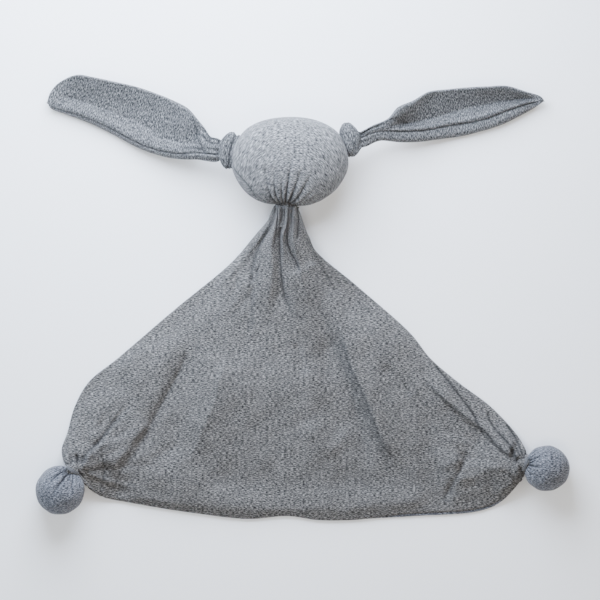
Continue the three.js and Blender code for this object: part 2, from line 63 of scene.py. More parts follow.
# Each light: azimuth and elevation in degrees, distance and size in metres, power in watts, colour
LIGHTS = {
    "window": (103, 35, 0.58, 0.5, 16, (0.72, 0.82, 1.0)),
    "left_fill": (192, 26, 1.3, 0.9, 9.5, (0.58, 0.77, 1.0)),
    "right_fill": (348, 40, 2.2, 1.4, 13, (1.0, 0.94, 0.88)),
    "overhead": (262, 74, 1.6, 0.5, 8, (1.0, 0.97, 0.93)),
}
SKY = {"Color": (1.0, 0.945, 0.875, 1), "Strength": 0.4}
FLOOR_PAINT = {"Base Color": (0.94, 0.94, 0.94, 1), "Roughness": 0.9}
FLOOR_SIZE = 8
FLOOR_DROP = 0.0002

# Cloth
JERSEY_THICKNESS = 0.9
HEAD_COVER_THICKNESS = 1.6
SEAM_GROOVE = 0.7
FACING = {"front": 1, "back": -1, "inner": 1, "outer": -1}

# Knit: width and height of a streak of yarn, a fibre, a paler or darker patch, and a stitch
STREAK = (2.3, 0.55)
FIBRE = (1.2, 0.46)
PATCH = (16, 5)
STITCH = (0.72, 0.55)
STREAK_SHARE, FIBRE_SHARE, PATCH_SHARE = 0.6, 0.4, 0.1
FIBRE_DEPTH, PATCH_DEPTH = 7.0, 3.0
MARL_RANGE = (0.345, 0.745)
MARL_CONTRAST = 2.0
STITCH_LEG, STITCH_LOOP = -0.3, 0.2
STITCH_SHADE = 0.12
FUZZ_HEIGHT = 0.6
KNIT_RELIEF = 0.25
KNIT_RELIEF_STRENGTH = 0.5
KNIT_SHINE = {"Sheen Weight": 0.12, "Sheen Roughness": 0.5, "Specular IOR Level": 0.2}
KNIT_ROUGHNESS = (0.08, 0.86)

# Sewing thread: its shine, its plies and their two greys
THREAD_SHINE = {"Roughness": 0.6, "Sheen Weight": 0.2}
THREAD_PLIES = {"Scale": 900, "Distortion": 2}
THREAD_GREYS = ((0.04, 0.041, 0.045, 1), (0.13, 0.132, 0.14, 1))

# Places that the frame gives
joints = {joint["name"]: joint for joint in frame["joints"]}


def pivot_of(joint):
    return np.array(joints[joint]["pos_m"]) / MM


NECK = pivot_of("head_tilt")
NECK_AXIS = np.cross([0, 0, 1], np.array(joints["head_nod"]["axis"], float))
KNOT = {side: pivot_of(f"{side}_ear_flop") for side in SIDES}
EAR_ROOT = {side: pivot_of(f"{side}_ear_swing") for side in SIDES}
WRIST = {side: pivot_of(f"{side}_ball_swing") for side in SIDES}


# Numbers and lines
def smooth(x, low, high):
    t = np.clip((np.asarray(x, float) - low) / (high - low), 0, 1)
    return t * t * (3 - 2 * t)


def mix(a, b, share):
    return a + (b - a) * share


def bump(x, middle, width):
    return np.exp(-((np.asarray(x, float) - middle) / width) ** 2)


def quarter_round(distance, width):
    """Rises from 0 at an edge to 1 at this width inside it, as a rounded edge does."""
    return np.sqrt(np.clip(1 - (1 - np.minimum(distance / width, 1)) ** 2, 0, 1))


def wrapped(degrees):
    """The same angles between -180 and 180."""
    return (degrees + 180) % 360 - 180


def unit(vector):
    return np.array(vector, float) / np.linalg.norm(vector)


def direction(degrees):
    angle = math.radians(degrees)
    return np.array([math.cos(angle), math.sin(angle), 0.0])


def distance_from(place, xy):
    return np.hypot(*(xy - place[:2]).T)


def trace(points, count=240):
    """A smooth line through the points, as evenly spaced points."""
    p = np.array(points, float)
    steps = np.linalg.norm(np.diff(p, axis=0), axis=1) ** 0.5
    knots = np.concatenate([[0], np.cumsum(steps)])
    slope = np.gradient(p, knots, axis=0)
    t = np.linspace(0, knots[-1], 6 * count)
    i = np.clip(np.searchsorted(knots, t, side="right") - 1, 0, len(p) - 2)
    span = (knots[i + 1] - knots[i])[:, None]
    f = (t - knots[i])[:, None] / span
    line = (2 * f**3 - 3 * f**2 + 1) * p[i] + (f**3 - 2 * f**2 + f) * span * slope[i]
    line += (3 * f**2 - 2 * f**3) * p[i + 1] + (f**3 - f**2) * span * slope[i + 1]
    run = np.concatenate([[0], np.cumsum(np.linalg.norm(np.diff(line, axis=0), axis=1))])
    even = np.linspace(0, run[-1], count)
    return np.stack([np.interp(even, run, column) for column in line.T], axis=1)


def length_of(line):
    return np.linalg.norm(np.diff(line, axis=0), axis=1).sum()


def along(line, share):
    """Points of a traced line at these shares of its length."""
    at = np.linspace(0, 1, len(line))
    return np.stack([np.interp(share, at, column) for column in line.T], axis=-1)


def nearest(line, points):
    """How far each point lies from a line, how far along it, and on which side: +1 is its left."""
    distance = np.full(len(points), 1e9)
    share = np.zeros(len(points))
    side = np.ones(len(points))
    for k in range(len(line) - 1):
        step = line[k + 1] - line[k]
        offset = points - line[k]
        at = np.clip(offset @ step / (step @ step), 0, 1)
        away = np.linalg.norm(offset - at[:, None] * step, axis=1)
        closer = away < distance
        distance[closer] = away[closer]
        share[closer] = (k + at[closer]) / (len(line) - 1)
        side[closer] = np.sign(step[0] * offset[closer, 1] - step[1] * offset[closer, 0])
    return distance, share, side


def close_to(line, reach, points):
    """Which points lie in the line's box, widened by this reach."""
    low, high = line.min(axis=0) - reach, line.max(axis=0) + reach
    return np.all((points > low) & (points < high), axis=1)


WAVES_PER_LENGTH = 5


def waves(points, lengths, seed):
    """Smooth irregular waves of about these lengths, from -1 to 1 in all."""
    random = np.random.default_rng(seed)
    height = np.zeros(len(points))
    for length in lengths:
        for _ in range(WAVES_PER_LENGTH):
            way = random.normal(size=points.shape[1])
            way *= 2 * math.pi / length / np.linalg.norm(way) * random.uniform(0.7, 1.4)
            height += np.sin(points @ way + random.uniform(0, 2 * math.pi))
    return height / (WAVES_PER_LENGTH * len(lengths)) ** 0.5 / 2


# Meshes
def active(name):
    piece = bpy.context.object
    piece.name = name
    piece.data.name = name
    return piece


def set_points(piece, points):
    piece.data.vertices.foreach_set("co", (np.asarray(points, float) * MM).ravel())
    piece.data.update()


def grid(name, columns, rows):
    """A flat grid to be shaped: its piece, and each vertex's share across and along."""
    bpy.ops.object.select_all(action="DESELECT")
    bpy.ops.mesh.primitive_grid_add(x_subdivisions=columns, y_subdivisions=rows, size=2)
    piece = active(name)
    place = np.zeros(3 * len(piece.data.vertices))
    piece.data.vertices.foreach_get("co", place)
    place = place.reshape(-1, 3) / 2 + 0.5
    return piece, place[:, 0], place[:, 1]


def lay_cloth(piece, across, along_it):
    """The piece's UV map holds where each point lies in its flat cloth, in metres."""
    layer = piece.data.uv_layers.active or piece.data.uv_layers.new()
    layer.name = "cloth"
    corners = np.zeros(len(piece.data.loops), int)
    piece.data.loops.foreach_get("vertex_index", corners)
    flat = np.stack([across, along_it], axis=1) * MM
    layer.data.foreach_set("uv", flat[corners].ravel())


def paint_shade(piece, depth):
    """Painted shade: how dark each point is painted, from 0 on open cloth to 1 at the bottom of a fold."""
    layer = piece.data.attributes.new("painted_crease_shade", "FLOAT", "POINT")
    layer.data.foreach_set("value", np.clip(depth, 0, 1))


def select_only(piece):
    bpy.ops.object.select_all(action="DESELECT")
    piece.select_set(True)
    bpy.context.view_layer.objects.active = piece


def shade(piece):
    select_only(piece)
    bpy.ops.object.shade_smooth()


def flip_faces(piece):
    select_only(piece)
    bpy.ops.object.mode_set(mode="EDIT")
    bpy.ops.mesh.select_all(action="SELECT")
    bpy.ops.mesh.flip_normals()
    bpy.ops.object.mode_set(mode="OBJECT")


def merge(piece):
    """Welds a rolled-up grid into a closed skin that faces outwards."""
    select_only(piece)
    bpy.ops.object.mode_set(mode="EDIT")
    bpy.ops.mesh.select_all(action="SELECT")
    bpy.ops.mesh.remove_doubles(threshold=1e-6)
    bpy.ops.mesh.normals_make_consistent(inside=False)
    bpy.ops.object.mode_set(mode="OBJECT")
    shade(piece)


def thicken(piece, facing, thickness=JERSEY_THICKNESS):
    """Turns a cloth's outer face up (1) or down (-1), and gives it its thickness below that face."""
    if facing * sum(face.normal.z * face.area for face in piece.data.polygons) < 0:
        flip_faces(piece)
    bpy.context.view_layer.objects.active = piece
    wall = piece.modifiers.new("wall", "SOLIDIFY")
    wall.thickness = thickness * MM
    wall.offset = -1
    bpy.ops.object.modifier_apply(modifier=wall.name)
    shade(piece)


def dress(piece, material):
    piece.data.materials.clear()
    piece.data.materials.append(material)


# Nodes and materials
def link(tree, source, target):
    tree.links.new(source, target)


def set_inputs(node, values):
    for name, value in values.items():
        node.inputs[name].default_value = value


def new_material(name, values):
    """A material whose shader has these values: it, its nodes and its shader."""
    material = bpy.data.materials.new(name)
    material.use_nodes = True
    shader = material.node_tree.nodes["Principled BSDF"]
    set_inputs(shader, values)
    return material, material.node_tree, shader


def math_node(tree, operation, *values, clamp=False):
    node = tree.nodes.new("ShaderNodeMath")
    node.operation = operation
    node.use_clamp = clamp
    for socket, value in zip(node.inputs, values):
        if isinstance(value, (int, float)):
            socket.default_value = value
        else:
            link(tree, value, socket)
    return node.outputs[0]


def times(tree, value, factor):
    return math_node(tree, "MULTIPLY", value, factor)


def plus(tree, first, second):
    return math_node(tree, "ADD", first, second)


def noise_node(tree, vector, detail, roughness):
    node = tree.nodes.new("ShaderNodeTexNoise")
    set_inputs(node, {"Scale": 1, "Detail": detail, "Roughness": roughness})
    link(tree, vector, node.inputs["Vector"])
    return node.outputs["Fac"]


def scaled(tree, vector, across, along_it, depth=0.0):
    """The cloth's metres as counts of a cell so many millimetres across and along."""
    node = tree.nodes.new("ShaderNodeMapping")
    set_inputs(node, {"Scale": (1 / (across * MM), 1 / (along_it * MM), 1), "Location": (0, 0, depth)})
    link(tree, vector, node.inputs["Vector"])
    return node.outputs["Vector"]


def ramp(tree, value, low, high):
    node = tree.nodes.new("ShaderNodeMapRange")
    set_inputs(node, {"From Min": low, "From Max": high})
    link(tree, value, node.inputs["Value"])
    return node.outputs["Result"]


def mix_colour(tree, share, first, second):
    node = tree.nodes.new("ShaderNodeMix")
    node.data_type = "RGBA"
    for socket, value in zip((node.inputs[0], node.inputs[6], node.inputs[7]), (share, first, second)):
        if isinstance(value, tuple):
            socket.default_value = value
        else:
            link(tree, value, socket)
    return node.outputs[2]


def marled(tree, cloth, fibre):
    """Yarn spun of pale and dark fibres, in short streaks: 0 is dark and 1 is pale."""
    streak = noise_node(tree, scaled(tree, cloth, *STREAK), 0.4, 0.65)
    patch = noise_node(tree, scaled(tree, cloth, *PATCH, PATCH_DEPTH), 2, 0.5)
    marl = plus(tree, times(tree, streak, STREAK_SHARE), times(tree, fibre, FIBRE_SHARE))
    marl = plus(tree, marl, times(tree, patch, PATCH_SHARE))
    return math_node(tree, "POWER", ramp(tree, marl, *MARL_RANGE), MARL_CONTRAST)


def stitches(tree, cloth):
    """The V-shaped stitches of a fine jersey, as columns of leaning loops."""
    split = tree.nodes.new("ShaderNodeSeparateXYZ")
    link(tree, scaled(tree, cloth, *STITCH), split.inputs[0])
    column = math_node(tree, "FRACT", split.outputs["X"])
    lean = math_node(tree, "ABSOLUTE", math_node(tree, "SUBTRACT", column, 0.5))
    leg = math_node(tree, "COSINE", times(tree, lean, 4 * math.pi))
    loop = math_node(tree, "SINE", times(tree, plus(tree, split.outputs["Y"], lean), 2 * math.pi))
    return plus(tree, times(tree, leg, STITCH_LEG), times(tree, loop, STITCH_LOOP))


def heather_group():
    """Heather jersey: marled yarn on stitches, with painted shade between the stitches and painted shade in
    its creases.
    """
    tree = bpy.data.node_groups.new("Heather jersey", "ShaderNodeTree")
    inputs = {"Vector": "Vector", "Dark fibre": "Color", "Pale fibre": "Color", "Crease shade": "Float"}
    outputs = {"Color": "Color", "Height": "Float", "Roughness": "Float"}
    for in_out, sockets in (("INPUT", inputs), ("OUTPUT", outputs)):
        for name, kind in sockets.items():
            tree.interface.new_socket(name, in_out=in_out, socket_type=f"NodeSocket{kind}")
    start = tree.nodes.new("NodeGroupInput")
    end = tree.nodes.new("NodeGroupOutput")
    cloth, dark = start.outputs["Vector"], start.outputs["Dark fibre"]
    fibre = noise_node(tree, scaled(tree, cloth, *FIBRE, FIBRE_DEPTH), 0, 0.5)
    marl = marled(tree, cloth, fibre)
    stitch = stitches(tree, cloth)
    height = plus(tree, plus(tree, stitch, 0.5), times(tree, fibre, FUZZ_HEIGHT))
    # Painted shade in the hollows between the stitches
    shadow = times(tree, math_node(tree, "SUBTRACT", 0.5, stitch, clamp=True), STITCH_SHADE)
    colour = mix_colour(tree, marl, dark, start.outputs["Pale fibre"])
    colour = mix_colour(tree, shadow, colour, dark)
    # Painted shade: the colour darkens towards the dark fibre by the shade painted on the mesh at folds,
    # creases, seams and tucks
    colour = mix_colour(tree, start.outputs["Crease shade"], colour, dark)
    link(tree, colour, end.inputs["Color"])
    link(tree, height, end.inputs["Height"])
    link(tree, math_node(tree, "MULTIPLY_ADD", marl, *KNIT_ROUGHNESS), end.inputs["Roughness"])
    return tree


heather = heather_group()


def jersey(name, dark, pale):
    material, tree, shader = new_material(name, KNIT_SHINE)
    place = tree.nodes.new("ShaderNodeUVMap")
    place.uv_map = "cloth"
    # The painted crease shade on the mesh, which darkens the knit's colour
    painted_crease_shade = tree.nodes.new("ShaderNodeAttribute")
    painted_crease_shade.attribute_name = "painted_crease_shade"
    knit = tree.nodes.new("ShaderNodeGroup")
    knit.node_tree = heather
    set_inputs(knit, {"Dark fibre": (*dark, 1), "Pale fibre": (*pale, 1)})
    relief = tree.nodes.new("ShaderNodeBump")
    set_inputs(relief, {"Distance": KNIT_RELIEF * MM, "Strength": KNIT_RELIEF_STRENGTH})
    link(tree, place.outputs["UV"], knit.inputs["Vector"])
    link(tree, painted_crease_shade.outputs["Fac"], knit.inputs["Crease shade"])
    link(tree, knit.outputs["Height"], relief.inputs["Height"])
    link(tree, knit.outputs["Color"], shader.inputs["Base Color"])
    link(tree, knit.outputs["Roughness"], shader.inputs["Roughness"])
    link(tree, relief.outputs["Normal"], shader.inputs["Normal"])
    return material


def thread_material():
    material, tree, shader = new_material("sewing_thread", THREAD_SHINE)
    place = tree.nodes.new("ShaderNodeTexCoord")
    plies = tree.nodes.new("ShaderNodeTexWave")
    set_inputs(plies, THREAD_PLIES)
    link(tree, place.outputs["Object"], plies.inputs["Vector"])
    grey = mix_colour(tree, plies.outputs["Fac"], *THREAD_GREYS)
    link(tree, grey, shader.inputs["Base Color"])
    return material


body_jersey = jersey("body_jersey", (0.0105, 0.01, 0.0098), (0.328, 0.316, 0.303))
back_jersey = jersey("back_jersey", (0.011, 0.012, 0.015), (0.365, 0.379, 0.425))
head_jersey = jersey("head_jersey", (0.0105, 0.0103, 0.0105), (0.48, 0.48, 0.483))
ear_jersey = jersey("ear_jersey", (0.0105, 0.0106, 0.011), (0.315, 0.317, 0.321))
thread = thread_material()


# Camera, light and floor
def add_camera():
    middle = [value * MM for value in (*PHOTO_MIDDLE, CAMERA_HEIGHT)]
    bpy.ops.object.camera_add(location=middle, rotation=(0, 0, 0))
    camera = bpy.context.object
    camera.data.sensor_width = SENSOR_WIDTH
    camera.data.lens = SENSOR_WIDTH * CAMERA_HEIGHT / PHOTO_WIDTH
    camera.data.clip_end = CAMERA_REACH
    bpy.context.scene.camera = camera


def add_light(name, azimuth, elevation, distance, size, power, colour):
    out = direction(azimuth) * math.cos(math.radians(elevation))
    out[2] = math.sin(math.radians(elevation))
    bpy.ops.object.light_add(type="AREA", location=out * distance)
    light = bpy.context.object
    light.name = name
    light.rotation_euler = (math.radians(90 - elevation), 0, math.radians(azimuth + 90))
    light.data.size = size
    light.data.energy = power
    light.data.color = colour


def add_studio():
    for name, light in LIGHTS.items():
        add_light(name, *light)
    world = bpy.data.worlds.new("studio")
    bpy.context.scene.world = world
    world.use_nodes = True
    set_inputs(world.node_tree.nodes["Background"], SKY)
    bpy.ops.object.select_all(action="DESELECT")
    bpy.ops.mesh.primitive_plane_add(size=FLOOR_SIZE, location=(0, 0, -FLOOR_DROP))
    floor = active("floor")
    floor.data.materials.append(new_material("floor_paint", FLOOR_PAINT)[0])


# Body: plan of the doubled cloth, from the neck to the wrists and along the hem
NECK_SIDE = {
    "left": [(-8.6, 1.4), (-11.2, -4.5), (-13, -9), (-16.5, -13.5), (-20.6, -18)],
    "right": [(8.8, 1.4), (11.3, -4.5), (12.8, -9), (14.4, -13.5), (16, -18), (18.2, -22.5)],
}
SIDE_EDGE = {
    "left": [(-27.8, 106.5), (-43.5, 88.5), (-87, 52.5), (-129, 16.5), (-151, -1.5), (-161.5, -20),
             (-167, -40), (-171, -52), (-168.5, -62)],
    "right": [(18.8, 97.5), (50.3, 70.5), (90.8, 34.5), (105, 16.5), (126, -1.5), (150, -19.5),
              (167.3, -37.5), (173.6, -46.5), (177, -55)],
}
HEM_EDGE = [(-155.5, -72.5), (-150.5, -78.5), (-141, -87), (-120, -92), (-66.8, -100.5), (-30.8, -104.2),
            (-2, -102), (21, -105), (46.5, -105), (87, -100.5), (141, -96.5), (160, -89), (169.5, -79.5),
            (174.5, -71)]
CORNER_STEP = 1.2
ROWS_CLOSER = 0.62
COLUMNS_CLOSER = 0.5
GATHER_SPREADS = (0.05, 0.5)
NECK_RADIUS = 8.4
WRIST_ANGLE = {"left": 238, "right": 348.5}
BALL_FALL = 6
BALL_RADIUS = {"left": 18.2, "right": 17}

# Rise of the cloth to the neck and to the wrists
CLOTH_REST = 1.3
NECK_RISE_REACH = 118
NECK_RISE_REACH_AT_SIDES = 62
SIDE_DIRECTION = 50
RISE_CURVE = 1.35
WRIST_RISE_REACH = 40


def ball_axis(side):
    axis = direction(WRIST_ANGLE[side]) * math.cos(math.radians(BALL_FALL))
    axis[2] = -math.sin(math.radians(BALL_FALL))
    return axis


def corner(side):
    return (WRIST[side] - ball_axis(side) * CORNER_STEP)[:2]


def side_line(side):
    top = [NECK[:2] + np.array(step) for step in NECK_SIDE[side]]
    return trace([*top, *SIDE_EDGE[side], corner(side)])


LEFT_LINE = side_line("left")
RIGHT_LINE = side_line("right")
HEM_LINE = trace([corner("left"), *HEM_EDGE, corner("right")])


def gathered(u, v):
    """Columns gather at the sides of the round neck bundle, and spread evenly lower down."""
    return mix((1 - np.cos(math.pi * u)) / 2, u, smooth(v, *GATHER_SPREADS))


def closer_at_ends(share, much):
    """Shares that lie closer together towards 0 and 1."""
    return mix(share, smooth(share, 0, 1), much)


def plan(u, v):
    down = closer_at_ends(v, ROWS_CLOSER)[:, None]
    spread = gathered(closer_at_ends(u, COLUMNS_CLOSER), v)[:, None]
    left, right = along(LEFT_LINE, down[:, 0]), along(RIGHT_LINE, down[:, 0])
    hem = along(HEM_LINE, spread[:, 0])
    neck = mix(LEFT_LINE[0], RIGHT_LINE[0], spread)
    corners = mix(neck, mix(corner("left"), corner("right"), spread), down)
    return mix(left, right, spread) + mix(neck, hem, down) - corners


def rise(xy):
    """How far the middle of the doubled cloth stands off the floor."""
    dx, dy = xy[:, 0] - NECK[0], NECK[1] - xy[:, 1]
    distance = np.maximum(np.hypot(dx, dy) - NECK_RADIUS, 0)
    aside = np.minimum(np.abs(np.arctan2(dx, dy)) / math.radians(SIDE_DIRECTION), 1)
    reach = mix(NECK_RISE_REACH, NECK_RISE_REACH_AT_SIDES, aside**2) - NECK_RADIUS
    height = CLOTH_REST + (NECK[2] - CLOTH_REST) * (1 - np.minimum(distance / reach, 1)) ** RISE_CURVE
    for side in SIDES:
        away = distance_from(WRIST[side], xy)
        near = (1 - np.minimum(away / WRIST_RISE_REACH, 1)) ** RISE_CURVE
        height += (WRIST[side][2] - CLOTH_REST) * near
    return height


# Folds, which raise or lower the cloth, and fine creases; each is felt so many of its widths away
FOLD_STEPS = 28
FOLD_REACH = 5
CREASE_REACH = 3
CREASE_FADE = 5


def fold(points, height, left, right, round_by=1.0, fade=(0.15, 0.15), widen=(1.0, 1.0)):
    """A fold along a line: how high it stands (a valley is negative) and how wide it is on either side."""
    return {"line": trace(points, FOLD_STEPS), "height": height, "left": left, "right": right,
            "round": round_by, "fade": fade, "widen": widen}


def fold_height(folds, xy):
    height = np.zeros(len(xy))
    for f in folds:
        near = close_to(f["line"], FOLD_REACH * max(f["left"], f["right"]) * max(f["widen"]), xy)
        distance, share, side = nearest(f["line"], xy[near])
        width = np.where(side > 0, f["left"], f["right"]) * mix(*f["widen"], share)
        falloff = np.exp(-(np.sqrt(distance**2 + f["round"] ** 2) - f["round"]) / width)
        first, last = (smooth(at, 0, fade) if fade else 1 for at, fade in zip((share, 1 - share), f["fade"]))
        height[near] += f["height"] * falloff * first * last
    return height


def carve(lines, xy):
    """Fine creases: how dark each point is painted as shade, and how deep it is. A line has its points,
    width, painted shade and depth.
    """
    dark, deep = np.zeros(len(xy)), np.zeros(len(xy))
    for points, width, shade_by, depth in lines:
        line = trace(points, FOLD_STEPS)
        near = close_to(line, CREASE_REACH * width, xy)
        distance, share, _ = nearest(line, xy[near])
        length = length_of(line)
        fade = min(CREASE_FADE, length / 4)
        ends = smooth(share * length, 0, fade) * smooth((1 - share) * length, 0, fade)
        mark = np.exp(-(distance / width) ** 2) * ends
        # Painted shade along the crease
        dark[near] = np.maximum(dark[near], shade_by * mark)
        deep[near] = np.maximum(deep[near], depth * mark)
    return dark, deep


# Creases of the front, as read from the photograph: each one's line, width, painted shade and depth
NECK_CREASES = [
    ([(-13.5, 96), (-10.8, 106.5), (-9.5, 120), (-8.8, 133)], 0.49, 0.78, 0.8),
    ([(-9.4, 103), (-8.6, 108), (-7.5, 120), (-7.1, 133)], 0.37, 0.56, 0.5),
    ([(12, 45), (3.8, 49.5), (-3, 60), (-6, 75), (-7.2, 90), (-7.4, 102), (-7.4, 111), (-6.3, 120),
      (-5.6, 134)], 0.9, 0.67, 1.0),
    ([(-4.4, 112), (-3.9, 120), (-3.7, 133)], 0.37, 0.56, 0.5),
    ([(7.5, 80), (4.6, 89), (1.2, 94), (-1.6, 102), (-2.4, 111), (-1.4, 120), (-0.5, 134)], 0.74, 0.78, 1.0),
    ([(1.5, 110), (1.2, 123), (1.5, 133)], 0.37, 0.62, 0.5),
    ([(4.4, 103), (6, 112.5), (6.4, 121), (5, 132)], 0.57, 0.67, 0.7),
    ([(9.5, 112), (8.8, 121), (7.4, 131)], 0.41, 0.50, 0.5),
    ([(-29.5, 70), (-28, 84), (-24, 97.5), (-18.5, 109), (-13, 118.5), (-10.4, 132)], 1.56, 0.50, 0.8),
    ([(-26.5, 73), (-24.5, 81), (-22, 89)], 0.74, 0.45, 0.6),
    ([(-12.8, 117), (-12, 124), (-11.2, 131)], 0.41, 0.50, 0.4),
    ([(31, 72), (24, 84), (17, 97), (11, 109)], 0.98, 0.34, 0.6),
    ([(-66, 34), (-58, 46), (-48, 57)], 0.82, 0.28, 0.4),
]
LONG_CREASES = [
    ([(79, -61), (65.5, -40), (55.5, -13), (45, 9.5), (38.5, 30)], 1.3, 0.5, 0.5),
    # A wide line with no depth only paints shade, beside the long step where its shadow falls
    ([(75, -61), (62.5, -41), (52, -13), (41.5, 9.5), (34, 32)], 4.2, 0.22, 0.0),
    ([(60, -36), (68, -48), (77, -57.5)], 0.8, 0.4, 0.4),
    # A wide line with no depth only paints shade: a soft dark band beside the lit slope below the neck
    ([(40, 12), (31, 36), (21, 57), (13, 73)], 4.5, 0.15, 0.0),
    ([(-132, -81), (-125.2, -65.6), (-113.8, -50.8), (-104.5, -34), (-93.6, -13.1), (-84.4, 3.8), (-76, 23)],
     0.9, 0.3, 0.3),
    ([(-75, -66), (-68, -50), (-61.5, -34), (-54, -15), (-49.5, 3)], 1.2, 0.16, 0.2),
    ([(-43, 31), (-45.5, 22), (-48.5, 12)], 0.9, 0.3, 0.3),
    ([(-28.5, 65), (-28, 50), (-29, 36)], 0.9, 0.35, 0.4),
    ([(92, -12), (80, 2), (74, 11)], 0.9, 0.12, 0.3),
    ([(98, 2), (110, -9.5), (120, -19), (130, -28)], 0.9, 0.5, 0.6),
]
WRIST_CREASES = [
    # Right: under and between the laps, their pit, and the dark hollow at the tie
    ([(107, 13), (124, -8), (138, -26.7), (142.5, -36.8), (147.8, -40.5), (153, -47.3), (158.3, -52.5),
      (163.5, -55.9), (168.4, -57.5), (174, -58.5)], 1.0, 0.8, 1.2),
    ([(146.6, -22.5), (150, -30.8), (154.1, -36.8), (159, -42.5), (164.5, -48.4), (166.8, -51.8),
      (167.9, -55.9), (171, -61)], 1.0, 0.85, 1.6),
    ([(160.9, -31.5), (166.5, -39.8), (170.6, -47.3), (172.6, -52.4), (175.5, -59.5)], 0.9, 0.8, 1.4),
    ([(165.5, -45), (169, -50), (171, -55), (173.5, -60)], 0.8, 0.6, 0.8),
    ([(164, -48), (165.8, -51), (166.5, -55.5)], 1.7, 0.85, 1.5),
    ([(166, -58), (170, -60.5), (174, -60.5), (176.5, -57)], 1.7, 0.9, 1.2),
    ([(114, -92.5), (121.5, -77.5), (129, -64), (131.8, -51)], 0.9, 0.5, 0.5),
    ([(157, -67.5), (162, -69.5), (168, -73.5), (175, -72)], 1.1, 0.5, 0.8),
    ([(170.5, -61), (172, -65), (174.5, -70)], 0.7, 0.6, 0.6),
    # Left: beside the long ridge, across the corner, and the pit at the tie
    ([(-128, -27), (-136.7, -37.5), (-141.7, -44.2), (-146, -48.8), (-151.3, -53.6), (-155, -58.5)],
     1.3, 0.6, 1.0),
    ([(-150.5, -57), (-154, -60.5), (-160, -61)], 1.4, 0.7, 1.0),
    ([(-128, -46.5), (-138, -50.5), (-145.5, -54.5), (-150, -60), (-153.5, -64.5)], 1.3, 0.4, 0.5),
    ([(-138, -65.5), (-141, -65.8), (-148.3, -67.5), (-158, -68)], 0.7, 0.55, 0.6),
    ([(-143.5, -49), (-142, -53), (-140, -61.7), (-139.2, -65.8), (-140.9, -76.7), (-141.7, -86)],
     0.8, 0.4, 0.4),
    ([(-160.6, -55), (-159, -58.5), (-160.4, -62.5)], 1.4, 1.0, 2.4),
    ([(-165, -55.5), (-163.6, -59.5), (-163.6, -64.5)], 1.0, 0.7, 1.0),
    ([(-157, -56.5), (-153, -58.5), (-150, -57)], 1.1, 0.6, 0.8),
    ([(-169, -65.5), (-161.7, -67.2), (-157.5, -69.5), (-153, -73.5)], 1.6, 0.95, 0.6),
]

# Folds of the front, each listed from the hem up, so that its left is the picture's left
NECK_FOLDS = [
    fold([(10, 47.5), (-2.5, 60), (-8, 75), (-7.7, 99.5), (-7.7, 108), (-5.2, 119.6), (-4.6, 129)],
         -4.4, 4, 1.6, 0.5, (0.3, 0), (2.2, 0.5)),
    fold([(6.5, 80), (3.8, 88), (0.3, 93.7), (-2.5, 102.3), (-2, 108), (0, 119.6), (0.9, 129)],
         -4.2, 1.2, 2.6, 0.4, (0.1, 0), (1.4, 0.5)),
    fold([(1, 84), (-0.3, 89), (-3.7, 96.6), (-5.4, 103.5), (-4.8, 110.4), (-2.5, 116.7), (-2.2, 129)],
         2.4, 1.3, 1.3, 0.5, (0.3, 0), (1.5, 0.6)),
    fold([(-22, 40), (-15, 66), (-13, 85), (-14, 99.5), (-12.9, 108), (-10.6, 116.7), (-7.9, 129)],
         4.0, 4.5, 3, 1.2, (0.5, 0), (1.9, 0.4)),
    fold([(-29, 72), (-27.8, 93.7), (-24.3, 99.5), (-20.3, 105.2), (-16.3, 110.4), (-13.4, 116.7),
          (-10.2, 129)], -4.6, 5, 3, 0.6, (0.4, 0), (1.8, 0.3)),
    fold([(-66, 56), (-44, 80), (-24, 104), (-14.4, 120)], 3.4, 6, 5, 1.5, (0.4, 0.1), (1.6, 0.5)),
    fold([(14, 62), (7, 88), (3, 104), (2.8, 116), (3.2, 129)], 3.2, 2.4, 3.4, 0.8, (0.4, 0), (1.9, 0.5)),
    fold([(5.6, 100), (5.4, 110), (5.2, 119.6), (4.8, 129)], -3.2, 1.2, 1.8, 0.4, (0.3, 0), (1.6, 0.5)),
    fold([(10, 103), (8.6, 114), (7.6, 121.5), (6, 129)], 1.8, 1.2, 3, 0.5, (0.4, 0)),
    fold([(-7.6, 108), (-6.6, 118), (-6.2, 129)], 1.4, 0.7, 0.6, 0.2, (0.5, 0)),
    fold([(-9.8, 112), (-9.2, 120), (-8.9, 129)], -1.8, 0.7, 0.8, 0.2, (0.4, 0)),
    fold([(-3.4, 112), (-3.4, 121), (-3.4, 129)], -1.3, 0.5, 0.5, 0.2, (0.5, 0)),
    fold([(-0.8, 112), (-0.7, 121), (-0.9, 129)], 1.2, 0.5, 0.5, 0.2, (0.5, 0)),
    fold([(1.9, 108), (1.8, 119), (2.2, 129)], -1.5, 0.6, 0.6, 0.2, (0.4, 0)),
    fold([(-12.4, 118), (-11.8, 123), (-11.4, 129)], 1.3, 0.7, 0.7, 0.3, (0.4, 0)),
]
LONG_STEP = [(80, -60), (72, -50), (66.8, -39), (57, -12), (46.5, 10.5), (40, 33), (31.9, 60)]
